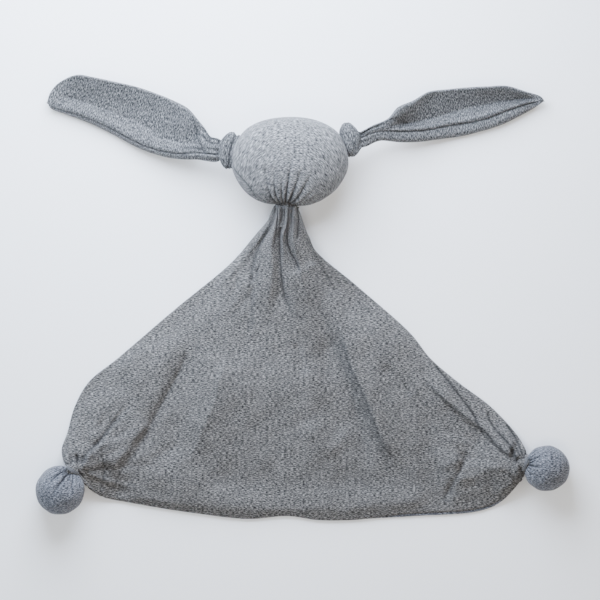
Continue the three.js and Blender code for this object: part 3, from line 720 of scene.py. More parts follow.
FRONT_FOLDS = [
    # Broad swells and hollows
    fold([(-84, -2), (-45, -8), (0, -6), (34, -2)], 5.8, 34, 36, 16, (0.2, 0.2)),
    fold([(-86, -74), (-30, -77), (15, -79), (60, -78), (126, -75)], -5.2, 30, 11, 6, (0.2, 0.1)),
    fold([(-132, 6), (-112, 19), (-92, 26), (-74, 28)], 2.6, 7, 16, 2, (0.2, 0.3)),
    fold([(-160, -9), (-136, -6), (-114, -8)], -2.4, 13, 10, 2, (0.1, 0.4)),
    # Creases below the neck
    fold([(-29, 73), (-26.5, 79), (-23.5, 84)], -3.0, 4, 1.2, 0.5),
    fold([(-34, 16), (-31.5, 40), (-28.5, 66), (-27, 88)], -2.2, 5, 2, 0.8, (0.5, 0.4)),
    fold([(11.5, 83.5), (17, 85.7), (24, 86.3)], 2.6, 1.6, 6, 0.6, (0.2, 0.4)),
    fold([(12.5, 5), (8, 17), (5, 28)], -1.8, 4, 1.4, 0.8),
    fold([(26, -3), (28, 14), (27, 36)], -1.5, 4, 8, 1.6, (0.4, 0.4)),
    fold([(38, 60), (30, 75), (20, 92), (13, 104)], -3.0, 5, 2, 0.8, (0.3, 0.4)),
    # Right of the middle: one long step, dark below its left edge and lit on its far side
    fold(LONG_STEP, 3.6, 5, 20, 0.6, (0.6, 0.3), (1.0, 2.0)),
    fold(LONG_STEP, 3.6, 3.0, 7, 0.4, (0.12, 0.4), (1.0, 2.4)),
    fold([(70, -60), (58, -38), (48, -12), (37, 12), (26, 40), (16, 66)], -2.8, 9, 6, 2, (0.15, 0.5)),
    fold([(60, -66), (52, -34), (46, -10), (36, 12)], -2.6, 7, 2.4, 0.8, (0.2, 0.4)),
    fold([(92, -12), (80, 2), (71, 12)], -1.3, 5, 2, 0.6),
    fold([(130, -24), (104, 8), (76, 38), (48, 66)], 3.0, 16, 9, 5, (0.3, 0.3)),
    # A soft hollow between the two long valleys
    fold([(14, -26), (22, -42), (30, -52), (38, -46), (47, -30)], 2.6, 5, 9, 2.5, (0.25, 0.25)),
    fold([(-52, -58), (-30, -40), (-4, -36), (16, -48)], -1.6, 20, 16, 8, (0.3, 0.3)),
    # Left of the middle
    fold([(-132, -81), (-125.6, -65.6), (-114.4, -50.6), (-105, -33.8), (-93.8, -13.1), (-84.4, 3.8),
          (-75.9, 23.4)], -3.8, 2.6, 6, 0.4, (0.4, 0.2)),
    fold([(-136, -66), (-120, -42), (-104, -14), (-92, 12), (-78, 40)], 2.2, 15, 8, 4, (0.25, 0.3)),
    fold([(-134, -70), (-124, -54), (-113.5, -41), (-105.5, -31)], 3.4, 13, 1.6, 0.4, (0.15, 0.12)),
    fold([(-79.7, -76.9), (-71.3, -52.5), (-63.8, -33.8), (-56.3, -15), (-51.6, 3.8), (-46.9, 15),
          (-43.1, 30)], 3.8, 5, 20, 0.6, (0.5, 0.25)),
    fold([(-96, -66), (-84, -40), (-72, -12), (-58, 14)], -1.4, 9, 7, 3, (0.3, 0.4)),
    fold([(-106, -61), (-92, -53), (-79, -47)], -1.8, 4, 5, 0.8, (0.2, 0.3)),
    # Left wrist
    fold([(-149, -54), (-143.4, -47.5), (-140, -42), (-136, -35.7), (-130.7, -30), (-117.5, -15)],
         -5.2, 5, 1.8, 0.5, (0.1, 0.3)),
    fold([(-146, -50), (-139, -40), (-132, -31), (-116, -12)], 3.4, 12, 4, 1.0, (0.15, 0.4)),
    fold([(-163, -52), (-158, -34), (-144, -12), (-122, 10), (-96, 32)], 1.8, 7, 18, 4, (0.1, 0.4)),
    fold([(-156.5, -63.5), (-153.7, -62), (-150.8, -57.5), (-148, -54), (-143.4, -49.5), (-137.6, -46.6),
          (-126, -42)], 4.6, 0.8, 9, 0.4, (0.05, 0.5)),
    fold([(-157, -63.5), (-152.5, -60.4), (-150, -55.8), (-145, -50.8), (-140.8, -48.3), (-130.8, -44.2)],
         1.5, 0.8, 1.0, 0.2, (0.1, 0.3)),
    fold([(-141.5, -83), (-140, -73.6), (-139.3, -64.4), (-140.5, -57.5), (-142.5, -50.5)],
         -2.4, 5, 1.2, 0.5, (0.1, 0.2)),
    fold([(-156, -68), (-147, -67.6), (-139.5, -66.5), (-128, -68)], -1.0, 1.2, 3, 0.4, (0, 0.4)),
    fold([(-158, -63), (-155, -60), (-153.5, -56.5)], -5.0, 1.2, 1.2, 0.4, (0.1, 0.4)),
    fold([(-162, -62), (-161.5, -58.5), (-162.5, -54)], -5.4, 1.3, 1.4, 0.4, (0, 0.5)),
    fold([(-165.5, -62), (-167, -55), (-166, -44)], 2.2, 1.5, 2, 0.8, (0, 0.5)),
    fold([(-153, -72.5), (-147, -76), (-139, -83)], -3.0, 2.2, 2.2, 0.8, (0, 0.5)),
    fold([(-152, -70), (-143, -73), (-128, -78)], 2.2, 1.5, 3, 0.8, (0.1, 0.5)),
    # Right wrist: three laps of the side, one over the other
    fold([(166, -56), (159.6, -53.4), (151.6, -45.4), (143.6, -36.8), (136, -31), (127.5, -24.2), (112, -11),
          (96, 3)], 5.4, 0.6, 12, 0.25, (0.02, 0.3)),
    fold([(171, -58), (168.8, -55), (166.5, -48.8), (159.6, -41.4), (152.7, -35), (148, -27.6), (142, -20)],
         3.8, 5, 0.6, 0.3, (0.02, 0.4)),
    fold([(174.5, -57), (171.7, -50.6), (167.7, -43.7), (162, -36.8), (154, -28)],
         3.0, 3.5, 0.7, 0.3, (0.02, 0.4)),
    fold([(167, -58), (165.6, -54), (164.5, -50.5)], -4.6, 1.1, 1.1, 0.4, (0, 0.5)),
    fold([(174.3, -66), (170.5, -60), (166, -57)], -4.4, 1.0, 1.2, 0.4, (0, 0.4)),
    fold([(134, -64.5), (142, -64.5), (155, -65), (161, -67.2), (166.5, -70.7), (172, -73.5)],
         1.9, 8, 10, 0.5, (0.4, 0.05)),
    fold([(175, -73), (172, -68), (169.6, -63), (167.6, -58.5), (159, -54.6)], 3.0, 1.6, 1.2, 0.4, (0, 0.3)),
    fold([(114.4, -92), (121.9, -77), (129.4, -63.8), (132.2, -50.6)], -2.4, 2.4, 2.2, 0.4, (0.1, 0.25)),
    fold([(111, -67), (120, -63), (129.5, -58)], 2.6, 8, 4, 0.8, (0.3, 0.1)),
    fold([(169, -77), (161, -81), (150, -83)], 2.4, 3, 8, 1.5, (0.1, 0.5)),
    # Hem: a soft roll above the seam, and a short fold into it
    fold([(-132, -83), (-107, -88.5), (-72, -92), (-30, -95), (10, -95.5), (45, -95.5), (82, -92),
          (114, -89)], 3.1, 12, 7, 3, (0.1, 0.1)),
]


def fine_wrinkles(middle, first, last, count, reach, height, seed):
    """Short fine wrinkles that spread from a tie, at random but the same on every run."""
    random = np.random.default_rng(seed)
    wrinkles = []
    for k in range(count):
        angle = math.radians(mix(first, last, (k + random.uniform(0.2, 0.8)) / count))
        bend = random.uniform(-0.25, 0.25)
        near, far = random.uniform(0.12, 0.4) * reach, random.uniform(0.6, 1) * reach
        line = [np.array(middle) + r * np.array([math.cos(a), math.sin(a)])
                for r, a in ((far, angle + bend), ((near + far) / 2, angle + bend / 3), (near, angle))]
        width = random.uniform(1.4, 3.2)
        wrinkles.append(fold(line, height * random.choice([-1, 1]) * random.uniform(0.5, 1),
                             width, width * random.uniform(0.6, 1.6), 0.8, (0.4, 0.3)))
    return wrinkles


FINE_WRINKLES = [*fine_wrinkles(NECK[:2], -158, -30, 30, 115, 0.9, 31),
                 *fine_wrinkles(WRIST["left"][:2], -28, 86, 17, 78, 1.1, 32),
                 *fine_wrinkles(WRIST["right"][:2], 106, 206, 17, 82, 1.1, 33)]

# Folds of the back: the gathers below the neck, and a soft roll towards each wrist
BACK_FOLDS = [fold(points, height, left, right, 1, (0.4, 0), (1.8, 0.5)) for points, height, left, right in (
    ([(-30, 20), (-18, 60), (-9, 100), (-5.5, 128)], -3, 4, 4),
    ([(-62, 30), (-40, 70), (-16, 108), (-8, 126)], 3, 5, 4),
    ([(14, 10), (6, 60), (0, 100), (-3, 128)], 3, 4, 4),
    ([(46, 30), (26, 70), (9, 106), (1, 126)], -3, 4, 5),
    ([(60, 46), (30, 84), (10, 112), (3, 126)], 2.5, 3, 4),
)]
BACK_FOLDS += [fold([(-60, -70), (-84, -40), (-110, -30), (-150, -58)], 1.6, 8, 8, 3),
               fold([(70, -70), (100, -40), (130, -34), (166, -58)], 1.6, 8, 8, 3)]

# Body panels: their grids, puff and edges, their bundles at the ties, and their soft waves
PANEL_GRID = {"front": (270, 168), "back": (150, 96)}
FRONT_PUFF = 5.4
EDGE_ROLL = 3.0
EDGE_LIFT = 1.1
NECK_BUNDLE_REACH = 46
NECK_BUNDLE_CURVE = 1.2
NECK_BUNDLE_SWELL = 2.2
NECK_BUNDLE_SWELLS = (6, 20)
THREAD_BITE = 0.4
WRIST_BUNDLE = 3.8
WRIST_BUNDLE_REACH = 16
WRIST_BUNDLE_CURVE = 1.1
SOFT_WAVES = (60, 34, 17)
# Painted shade in the front's fold valleys: how dark, and over which valley depths it grows
FOLD_SHADE = 0.22
FOLDS_SHADED = (1.5, 7)
VALLEY_SHARE = 0.6
VALLEY_EASE = 0.5
BACK_BUNDLE = 0.9
BACK_WAVES = 0.4
BACK_LEAST = (0.2, 0.4)
FLOOR_GAP = 0.02
FLOOR_RIPPLE = 0.25
FLOOR_WAVES = (24,)

# The knit lies closer at the neck, and its grain drifts a little
KNIT_CLOSER = 1.4
GRAIN_DRIFT = 2.5
GRAIN_WAVES = (120, 60)

# How far in from the edge, or away from the neck, each of these begins and is whole
PUFF_FROM_EDGE = (-2, 26)
PUFF_FROM_NECK = (10, 60)
FOLDS_FROM_EDGE = (-0.5, 5.5)
NECK_FOLDS_FROM_EDGE = (-1, 2)
CREASES_FROM_EDGE = (0, 2)
WAVES_FROM_EDGE = (0, 12)
WAVES_FROM_NECK = (20, 60)
BACK_FOLDS_FROM_EDGE = (0, 6)
KNIT_FROM_NECK = (8, 75)

# The back's seam shows below the hem of the front, from its middle to the right wrist
HEM_STEP = 2.0
HEM_STEP_STARTS = (52, 90)
HEM_STEP_STOPS = (150, 168)
HEM_STEP_WIDTH = 7
HEM_TOP = -75


def edge_distance(xy):
    """How far in from the edge of the cloth a point lies."""
    outline = np.concatenate([LEFT_LINE, HEM_LINE, RIGHT_LINE[::-1]])
    return nearest(outline[::4], xy)[0]


def neck_bundle(u, xy):
    """The gathered cloth under the neck, packed into a round bundle that spreads out below."""
    distance = distance_from(NECK, xy)
    fade = (1 - np.minimum(distance / NECK_BUNDLE_REACH, 1)) ** NECK_BUNDLE_CURVE
    swell = NECK_RADIUS - THREAD_BITE + NECK_BUNDLE_SWELL * smooth(distance, *NECK_BUNDLE_SWELLS)
    return swell * fade * np.sqrt(np.maximum(1 - (2 * u - 1) ** 2, 0))


def wrist_bundle(xy, inward, side):
    """The corner of the cloth drawn into a round bundle at its tie."""
    away = distance_from(WRIST[side], xy)
    fade = (1 - np.minimum(away / WRIST_BUNDLE_REACH, 1)) ** WRIST_BUNDLE_CURVE
    return WRIST_BUNDLE * fade * quarter_round(inward, WRIST_BUNDLE)


def relax(height, columns, rows):
    """Softens a grid of heights by drawing each halfway towards its neighbours."""
    field = height.reshape(rows + 1, columns + 1)
    near = (field[:-2, 1:-1] + field[2:, 1:-1] + field[1:-1, :-2] + field[1:-1, 2:]) / 4
    field[1:-1, 1:-1] = mix(field[1:-1, 1:-1], near, 0.5)
    return field.ravel()


def above(height, floor, ease):
    """Keeps heights above a floor, easing into it instead of cutting."""
    return floor + ease * np.logaddexp(0, (height - floor) / ease)


def front_relief(piece, xy, inward, puff, soft, packed):
    """Paints shade into the front's folds and creases, and gives how high its cloth lifts and how deep they
    cut.
    """
    folds = fold_height([*FRONT_FOLDS, *FINE_WRINKLES], xy) * smooth(inward, *FOLDS_FROM_EDGE)
    folds += fold_height(NECK_FOLDS, xy) * smooth(inward, *NECK_FOLDS_FROM_EDGE)
    dark, deep = carve([*NECK_CREASES, *LONG_CREASES, *WRIST_CREASES], xy)
    # Painted shade in the fold valleys and along the carved creases
    paint_shade(piece, np.maximum(smooth(-folds, *FOLDS_SHADED) * FOLD_SHADE, dark))
    raised = puff + folds + soft * smooth(inward, *WAVES_FROM_EDGE)
    lift = above(raised, -packed * VALLEY_SHARE, VALLEY_EASE)
    return relax(lift, *PANEL_GRID["front"]), deep * smooth(inward, *CREASES_FROM_EDGE)


def step_hem(xy, inward):
    """Moves the back's edge out below the hem, where the picture shows its seam."""
    proud = HEM_STEP * smooth(-inward, -HEM_STEP_WIDTH, 0) * smooth(xy[:, 0], *HEM_STEP_STARTS)
    proud *= smooth(-xy[:, 0], -HEM_STEP_STOPS[1], -HEM_STEP_STOPS[0])
    xy[:, 1] -= proud * (xy[:, 1] < HEM_TOP)


def body_panel(layer):
    piece, u, v = grid(f"body_{layer}", *PANEL_GRID[layer])
    v = 1 - v
    xy = plan(u, v)
    inward, from_neck = edge_distance(xy), distance_from(NECK, xy)
    middle = rise(xy)
    packed = neck_bundle(gathered(closer_at_ends(u, COLUMNS_CLOSER), v), xy)
    roll = quarter_round(inward, EDGE_ROLL) * EDGE_LIFT
    soft = waves(xy, SOFT_WAVES, 5) * smooth(from_neck, *WAVES_FROM_NECK)
    tied = sum(wrist_bundle(xy, inward, side) for side in SIDES)
    if layer == "front":
        puff = smooth(inward, *PUFF_FROM_EDGE) * smooth(from_neck, *PUFF_FROM_NECK) * FRONT_PUFF
        lift, deep = front_relief(piece, xy, inward, puff, soft, packed)
        z = middle + roll + packed + lift - deep + tied
    else:
        folds = fold_height(BACK_FOLDS, xy) * smooth(inward, *BACK_FOLDS_FROM_EDGE)
        step_hem(xy, inward)
        z = middle - roll - above(packed * BACK_BUNDLE + folds + soft * BACK_WAVES, *BACK_LEAST) - tied
        z = np.maximum(z, FLOOR_GAP + FLOOR_RIPPLE * (1 + waves(xy, FLOOR_WAVES, 9)))
    set_points(piece, np.column_stack([xy, z]))
    closer = 1 + KNIT_CLOSER * (1 - smooth(from_neck, *KNIT_FROM_NECK))
    drift = GRAIN_DRIFT * waves(xy, GRAIN_WAVES, 4)
    lay_cloth(piece, NECK[0] + (xy[:, 0] - NECK[0]) * closer, xy[:, 1] + drift)
    return piece


def finish_panel(piece, layer):
    thicken(piece, FACING[layer])
    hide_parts(f"body_{layer}_panel")
    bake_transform(piece)


# Round forms: stuffed covers with a mouth, and cloth gathered in a tie
def around_axis(axis):
    """Two directions square to an axis: to its side, and up."""
    aside = unit(np.cross(axis, (0, 0, 1)))
    return aside, np.cross(aside, axis)


def out_from(axis, angle):
    """The way out from an axis at each angle round it, in radians."""
    aside, up = around_axis(axis)
    return aside * np.cos(angle)[:, None] + up * np.sin(angle)[:, None]


def out_from_middle(axis, angle, polar):
    """The way out from a stuffed form's middle: the angle round its axis and from its mouth, in degrees."""
    p = np.radians(polar)[:, None]
    return -axis * np.cos(p) + out_from(axis, np.radians(angle)) * np.sin(p)


def spread_flat(way, facing, radius):
    """A round skin spread flat from its top or underside, so that the knit isn't drawn out at its sides."""
    from_top = np.arccos(np.clip(way[:, 2] * facing, -1, 1))
    return (way[:, :2] / np.maximum(np.sin(from_top), 1e-6)[:, None] * (from_top * radius)[:, None]).T


# Where gathers start, in degrees from the middle of the mouth
MOUTH = 12.5


def creases_on(angle, polar, creases, radius):
    """How deep the gathers cut at each point: the angle round the axis and from the mouth, in degrees."""
    depth = np.zeros(len(angle))
    for first, last, end, deep, width in creases:
        share = np.clip((polar - MOUTH) / (end - MOUTH), 0, 1)
        off = np.radians(wrapped(angle - mix(first, last, share))) * np.sin(np.radians(polar)) * radius
        cut = np.exp(-((off**2 + 0.04) ** 0.5 - 0.2) / (width * mix(0.6, 1.5, share)))
        depth += deep * cut * (1 - share) ** 0.7
    return depth


# Head: its grid, half sizes, side seam, gathers, swell and knit
HEAD_GRID = (150, 132)
HEAD_HALF = (43.5, 33.6, 28)
HEAD_SIDE_STEP = 3.4
HEAD_MOUTH_DROP = 0.6
HEAD_CREASE_RADIUS = 33.0
HEAD_SEAM_RADIUS = 34
HEAD_SKIN_RADIUS = 36
HEAD_SEAM_SHADE = 0.6
HEAD_SEAM_SHADE_WIDTH = 0.8
HEAD_SEAM_WIDTH = 1.3
HEAD_SEAM_DEEPER = 1.4
HEAD_SEAM_PUCKER = 2.1
HEAD_CREASE_SHADE = 0.7
HEAD_CREASES_SHADED = (0.4, 2.6)
HEAD_SWELL = 1.1
HEAD_SWELL_AT = (32, 22)
HEAD_WAVES = (30, 16)
HEAD_WAVE_RADIUS = 40
HEAD_WAVE_HEIGHT = 0.35
HEAD_POWER = (2, 2.3)
HEAD_POWER_CHANGES = (-0.3, 0.3)
HEAD_KNIT = (0.75, 0.88)
HEAD_KNIT_BOW = 0.02
FLOOR_FLAT = 0.5
HEAD_CENTRE = np.array([NECK[0] + HEAD_SIDE_STEP, NECK[1] + HEAD_MOUTH_DROP + HEAD_HALF[1],
                        HEAD_HALF[2] - FLOOR_FLAT])

# Gathers of the head, from the picture: angle at the mouth and at the far end, reach, depth, width
HEAD_CREASES = [(170, 168, 48, 2.0, 1.0), (155, 152, 56, 2.4, 1.0), (141, 139, 58, 2.4, 0.9),
                (129, 124, 84, 3.4, 0.9), (116, 113, 80, 3.4, 0.9), (103, 99, 72, 3.0, 0.8),
                (92, 87, 102, 3.8, 0.9), (80, 70, 84, 4.0, 1.2), (66, 55, 78, 3.6, 1.1),
                (51, 43, 56, 2.4, 0.9), (36, 31, 50, 2.2, 0.9), (20, 17, 46, 2.0, 0.9),
                (4, 3, 42, 1.8, 0.9)]
HEAD_CREASES += [(-12 - 15.6 * k, -12 - 15.6 * k - 4 * (-1) ** k, 46 + 12 * (k % 3), 2.4, 1.0)
                 for k in range(11)]


def head_reach(way):
    """The head's radius for a direction: a squashed ball, squarer away from the neck."""
    power = mix(*HEAD_POWER, smooth(way[:, 1], *HEAD_POWER_CHANGES))
    total = sum(np.abs(way[:, i] / HEAD_HALF[i]) ** power for i in range(3))
    return total ** (-1 / power)


def head_angles(layer, across, polar):
    """Angles round the neck's axis, from side seam to side seam; the left seam bows up below the ear."""
    bow = 24 * bump(polar, 52, 27) - 3 * smooth(polar, 90, 150)
    right, left = -4 * smooth(polar, 20, 60), 180 - bow
    return mix(right, left, across) if layer == "front" else mix(left, right + 360, across)


def head_panel(layer):
    piece, across, t = grid(f"head_{layer}", *HEAD_GRID)
    polar = mix(MOUTH, 180, t)
    angle = head_angles(layer, across, polar)
    way = out_from_middle(NECK_AXIS, angle, polar)
    depth = creases_on(angle, polar, HEAD_CREASES, HEAD_CREASE_RADIUS)
    seam = np.minimum(across, 1 - across) * math.pi * np.sin(np.radians(polar)) * HEAD_SEAM_RADIUS
    # Painted shade in the gathers and along the side seam's groove
    paint_shade(piece, np.maximum(smooth(depth, *HEAD_CREASES_SHADED) * HEAD_CREASE_SHADE,
                                    HEAD_SEAM_SHADE * np.exp(-(seam / HEAD_SEAM_SHADE_WIDTH) ** 2)))
    reach = head_reach(way) + HEAD_SWELL * bump(polar, *HEAD_SWELL_AT) - depth
    reach += waves(way * HEAD_WAVE_RADIUS, HEAD_WAVES, 3) * HEAD_WAVE_HEIGHT
    points = HEAD_CENTRE + way * reach[:, None]
    pucker = 0.75 + 0.25 * np.cos(polar * HEAD_SEAM_PUCKER)
    groove = SEAM_GROOVE * HEAD_SEAM_DEEPER * np.exp(-(seam / HEAD_SEAM_WIDTH) ** 2) * pucker
    points -= way * groove[:, None]
    for side in SIDES:
        points = dent(points, side)
    points[:, 2] = np.maximum(points[:, 2], 0)
    set_points(piece, points)
    x, y = spread_flat(way, FACING[layer], HEAD_SKIN_RADIUS)
    lay_cloth(piece, HEAD_KNIT[0] * x, HEAD_KNIT[1] * (y + HEAD_KNIT_BOW * x**2))
    return piece


# Where the knots are tied against the head
KNOT_HALF = {"left": (14, 6.2, 7.2), "right": (12.6, 7.6, 8)}
KNOT_ANGLE = {"left": 82, "right": 96}
DENT_MARGIN = 0.5


def knot_frame(side):
    """Directions along a knot's long axis, across it towards the ear, and up."""
    long_axis = direction(KNOT_ANGLE[side])
    across = np.cross([0, 0, 1], long_axis)
    if across @ (EAR_ROOT[side] - KNOT[side]) < 0:
        across = -across
    return long_axis, across, np.array([0, 0, 1.0])


def dent(points, side):
    """Presses the head in where a knot is tied against it."""
    directions = knot_frame(side)
    offset = points - KNOT[side]
    half = np.array(KNOT_HALF[side]) + DENT_MARGIN
    local = np.stack([offset @ d for d in directions], axis=1)
    size = np.linalg.norm(local / half, axis=1)
    push = np.where(size < 1, 1 - size, 0) * half[1]
    return points - directions[1] * push[:, None]


def finish_head(piece, layer):
    thicken(piece, FACING[layer], HEAD_COVER_THICKNESS)
    nodes = ["head_front_panel", "head_filling"] if layer == "front" else ["head_back_panel"]
    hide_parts(*nodes)
    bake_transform(piece)


# Gathers of the hand balls, as those of the head
BALL_GRID = (220, 110)
BALL_MOUTH = 15.5
BALL_ROWS_CLOSER = 1.25
BALL_CREASE_SHADE = 0.8
BALL_CREASES_SHADED = (0.3, 2)
BALL_SWELL = 0.5
BALL_SWELL_AT = (40, 20)
BALL_WAVES = (26, 12)
BALL_WAVE_RADIUS = 20
BALL_WAVE_HEIGHT = 0.5
BALL_KNIT_BOW = 0.012
BALL_CREASES = {
    "left": [(26, 24, 60, 2.2, 0.6), (46, 44, 60, 3.0, 0.7), (60, 58, 92, 3.6, 0.7), (72, 70, 58, 2.6, 0.6),
             (82, 81, 106, 3.8, 0.7), (94, 96, 62, 3.0, 0.7), (108, 114, 72, 2.6, 0.6),
             (126, 134, 58, 2.4, 0.6), (148, 154, 60, 2.2, 0.6)],
    "right": [(30, 26, 60, 2.2, 0.6), (58, 54, 58, 2.4, 0.6), (74, 72, 52, 2.6, 0.6), (89, 89, 74, 3.0, 0.7),
              (102, 106, 60, 2.8, 0.6), (116, 123, 78, 2.8, 0.7), (130, 138, 54, 2.4, 0.6),
              (152, 158, 60, 2.2, 0.6)],
}
for side in SIDES:
    BALL_CREASES[side] += [(-10 - 22 * k, -12 - 22 * k, 50 + 14 * (k % 3), 2.0, 0.55) for k in range(8)]


def ball_cover(side):
    piece, across, t = grid(f"{side}_ball", *BALL_GRID)
    radius, axis = BALL_RADIUS[side], ball_axis(side)
    polar = mix(BALL_MOUTH, 180, t**BALL_ROWS_CLOSER)
    angle = across * 360 - 90
    way = out_from_middle(axis, angle, polar)
    depth = creases_on(angle, polar, BALL_CREASES[side], radius)
    # Painted shade in the gathers
    paint_shade(piece, smooth(depth, *BALL_CREASES_SHADED) * BALL_CREASE_SHADE)
    ripple = waves(way * BALL_WAVE_RADIUS, BALL_WAVES, 11) * BALL_WAVE_HEIGHT
    reach = radius + BALL_SWELL * bump(polar, *BALL_SWELL_AT) - depth + ripple
    points = WRIST[side] + axis * radius + way * reach[:, None]
    points[:, 2] = np.maximum(points[:, 2], 0)
    set_points(piece, points)
    x, y = spread_flat(way, 1, radius)
    lay_cloth(piece, x, y - BALL_KNIT_BOW * x**2)
    merge(piece)
    dress(piece, back_jersey)
    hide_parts(f"{side}_ball_cover", f"{side}_ball_filling")
    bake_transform(piece)


# Ties: a wound thread on its gathered cloth
THREAD_DIAMETER = 0.7
THREAD_TURNS = 3
THREAD_PITCH = 1.05
STEPS_PER_TURN = 40
NECK_TIE_RADIUS = 7.7
WRIST_TIE_RADIUS = 5.1


def tie(name, node, middle, axis, radius, body):
    aside, up = around_axis(axis)
    bpy.ops.object.select_all(action="DESELECT")
    curve = bpy.data.curves.new(name, "CURVE")
    curve.dimensions = "3D"
    curve.bevel_depth = THREAD_DIAMETER / 2 * MM
    curve.bevel_resolution = 3
    steps = STEPS_PER_TURN * THREAD_TURNS
    spline = curve.splines.new("POLY")
    spline.points.add(steps)
    for k in range(steps + 1):
        turn = k / steps * THREAD_TURNS
        angle = 2 * math.pi * turn
        place = middle + axis * (turn - THREAD_TURNS / 2) * THREAD_DIAMETER * THREAD_PITCH
        place = place + radius * (aside * math.sin(angle) - up * math.cos(angle))
        spline.points[k].co = (*(place * MM), 1)
    piece = bpy.data.objects.new(name, curve)
    bpy.context.scene.collection.objects.link(piece)
    select_only(piece)
    bpy.ops.object.convert(target="MESH")
    piece = bpy.context.object
    shade(piece)
    dress(piece, thread)
    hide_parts(node)
    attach(piece, body)


# Gathers: how far each runs along its axis, its radius at places along it, its pleats (count, sway and
# sway's count), their lowest share of the radius and their height, and the radius of its cloth laid flat
NECK_GATHER_GRID = (160, 40)
NECK_GATHER_RUN = (-15, 7)
NECK_GATHER_ENDS = [0, 0.08, 0.92, 1]
NECK_GATHER_RADIUS = [(-15, 4), (-9, 5), (-4, 6.4), (-1, 7.4), (0, 7.6), (1, 7.6), (4, 7.6), (7, 6.5)]
NECK_PLEATS = (17, 0.7, 3)
NECK_PLEAT_HEIGHTS = (0.84, 0.18)
NECK_CLOTH_RADIUS = 14
WRIST_GATHER_GRID = (96, 30)
WRIST_GATHER_RUN = (-6, 3.2)
WRIST_GATHER_RADIUS = [(-6, 1.2), (-4, 2.6), (-1.5, 4.0), (0, 4.4), (1.5, 4.8), (3.2, 4.2)]
WRIST_PLEATS = (9, 0.5, 2)
WRIST_PLEAT_HEIGHTS = (0.86, 0.2)
WRIST_CLOTH_RADIUS = 9


def pleats(angle, count, sway, sway_count):
    """Rounded pleats round a gather, not quite even: 0 in the valleys and 1 on the crests."""
    return np.abs(np.sin(count / 2 * angle + sway * np.sin(sway_count * angle))) ** 0.7


def shape_gather(piece, middle, axis, angle, run, radius, cloth_radius):
    """Rolls a grid round an axis, into a pleated bundle of cloth."""
    set_points(piece, middle + axis * run[:, None] + out_from(axis, angle) * radius[:, None])
    lay_cloth(piece, angle * cloth_radius, run)


def neck_gather():
    """The tied cloth inside the neck, closed at both ends."""
    piece, across, t = grid("neck_gather", *NECK_GATHER_GRID)
    run = np.interp(t, NECK_GATHER_ENDS, np.repeat(NECK_GATHER_RUN, 2))
    angle = across * 2 * math.pi
    ridges = pleats(angle, *NECK_PLEATS)
    low, high = NECK_PLEAT_HEIGHTS
    radius = np.interp(run, *zip(*NECK_GATHER_RADIUS))
    radius = radius * np.interp(t, NECK_GATHER_ENDS, [0, 1, 1, 0]) * (low + high * ridges)
    shape_gather(piece, NECK, NECK_AXIS, angle, run, radius, NECK_CLOTH_RADIUS)
    # Painted shade in the valleys between the pleats
    paint_shade(piece, (1 - ridges) * 0.5)
    merge(piece)
    dress(piece, body_jersey)
    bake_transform(piece)


def wrist_gather(side):
    """The corner of the cloth, drawn together where the thread ties it."""
    piece, across, t = grid(f"{side}_wrist_gather", *WRIST_GATHER_GRID)
    axis = ball_axis(side)
    run = mix(*WRIST_GATHER_RUN, t)
    angle = across * 2 * math.pi
    radius = np.interp(run, *zip(*WRIST_GATHER_RADIUS))
    low, high = WRIST_PLEAT_HEIGHTS
    radius = radius * (low + high * pleats(angle, *WRIST_PLEATS))
    shape_gather(piece, WRIST[side], axis, angle, run, radius, WRIST_CLOTH_RADIUS)
    merge(piece)
    dress(piece, body_jersey)
    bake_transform(piece)


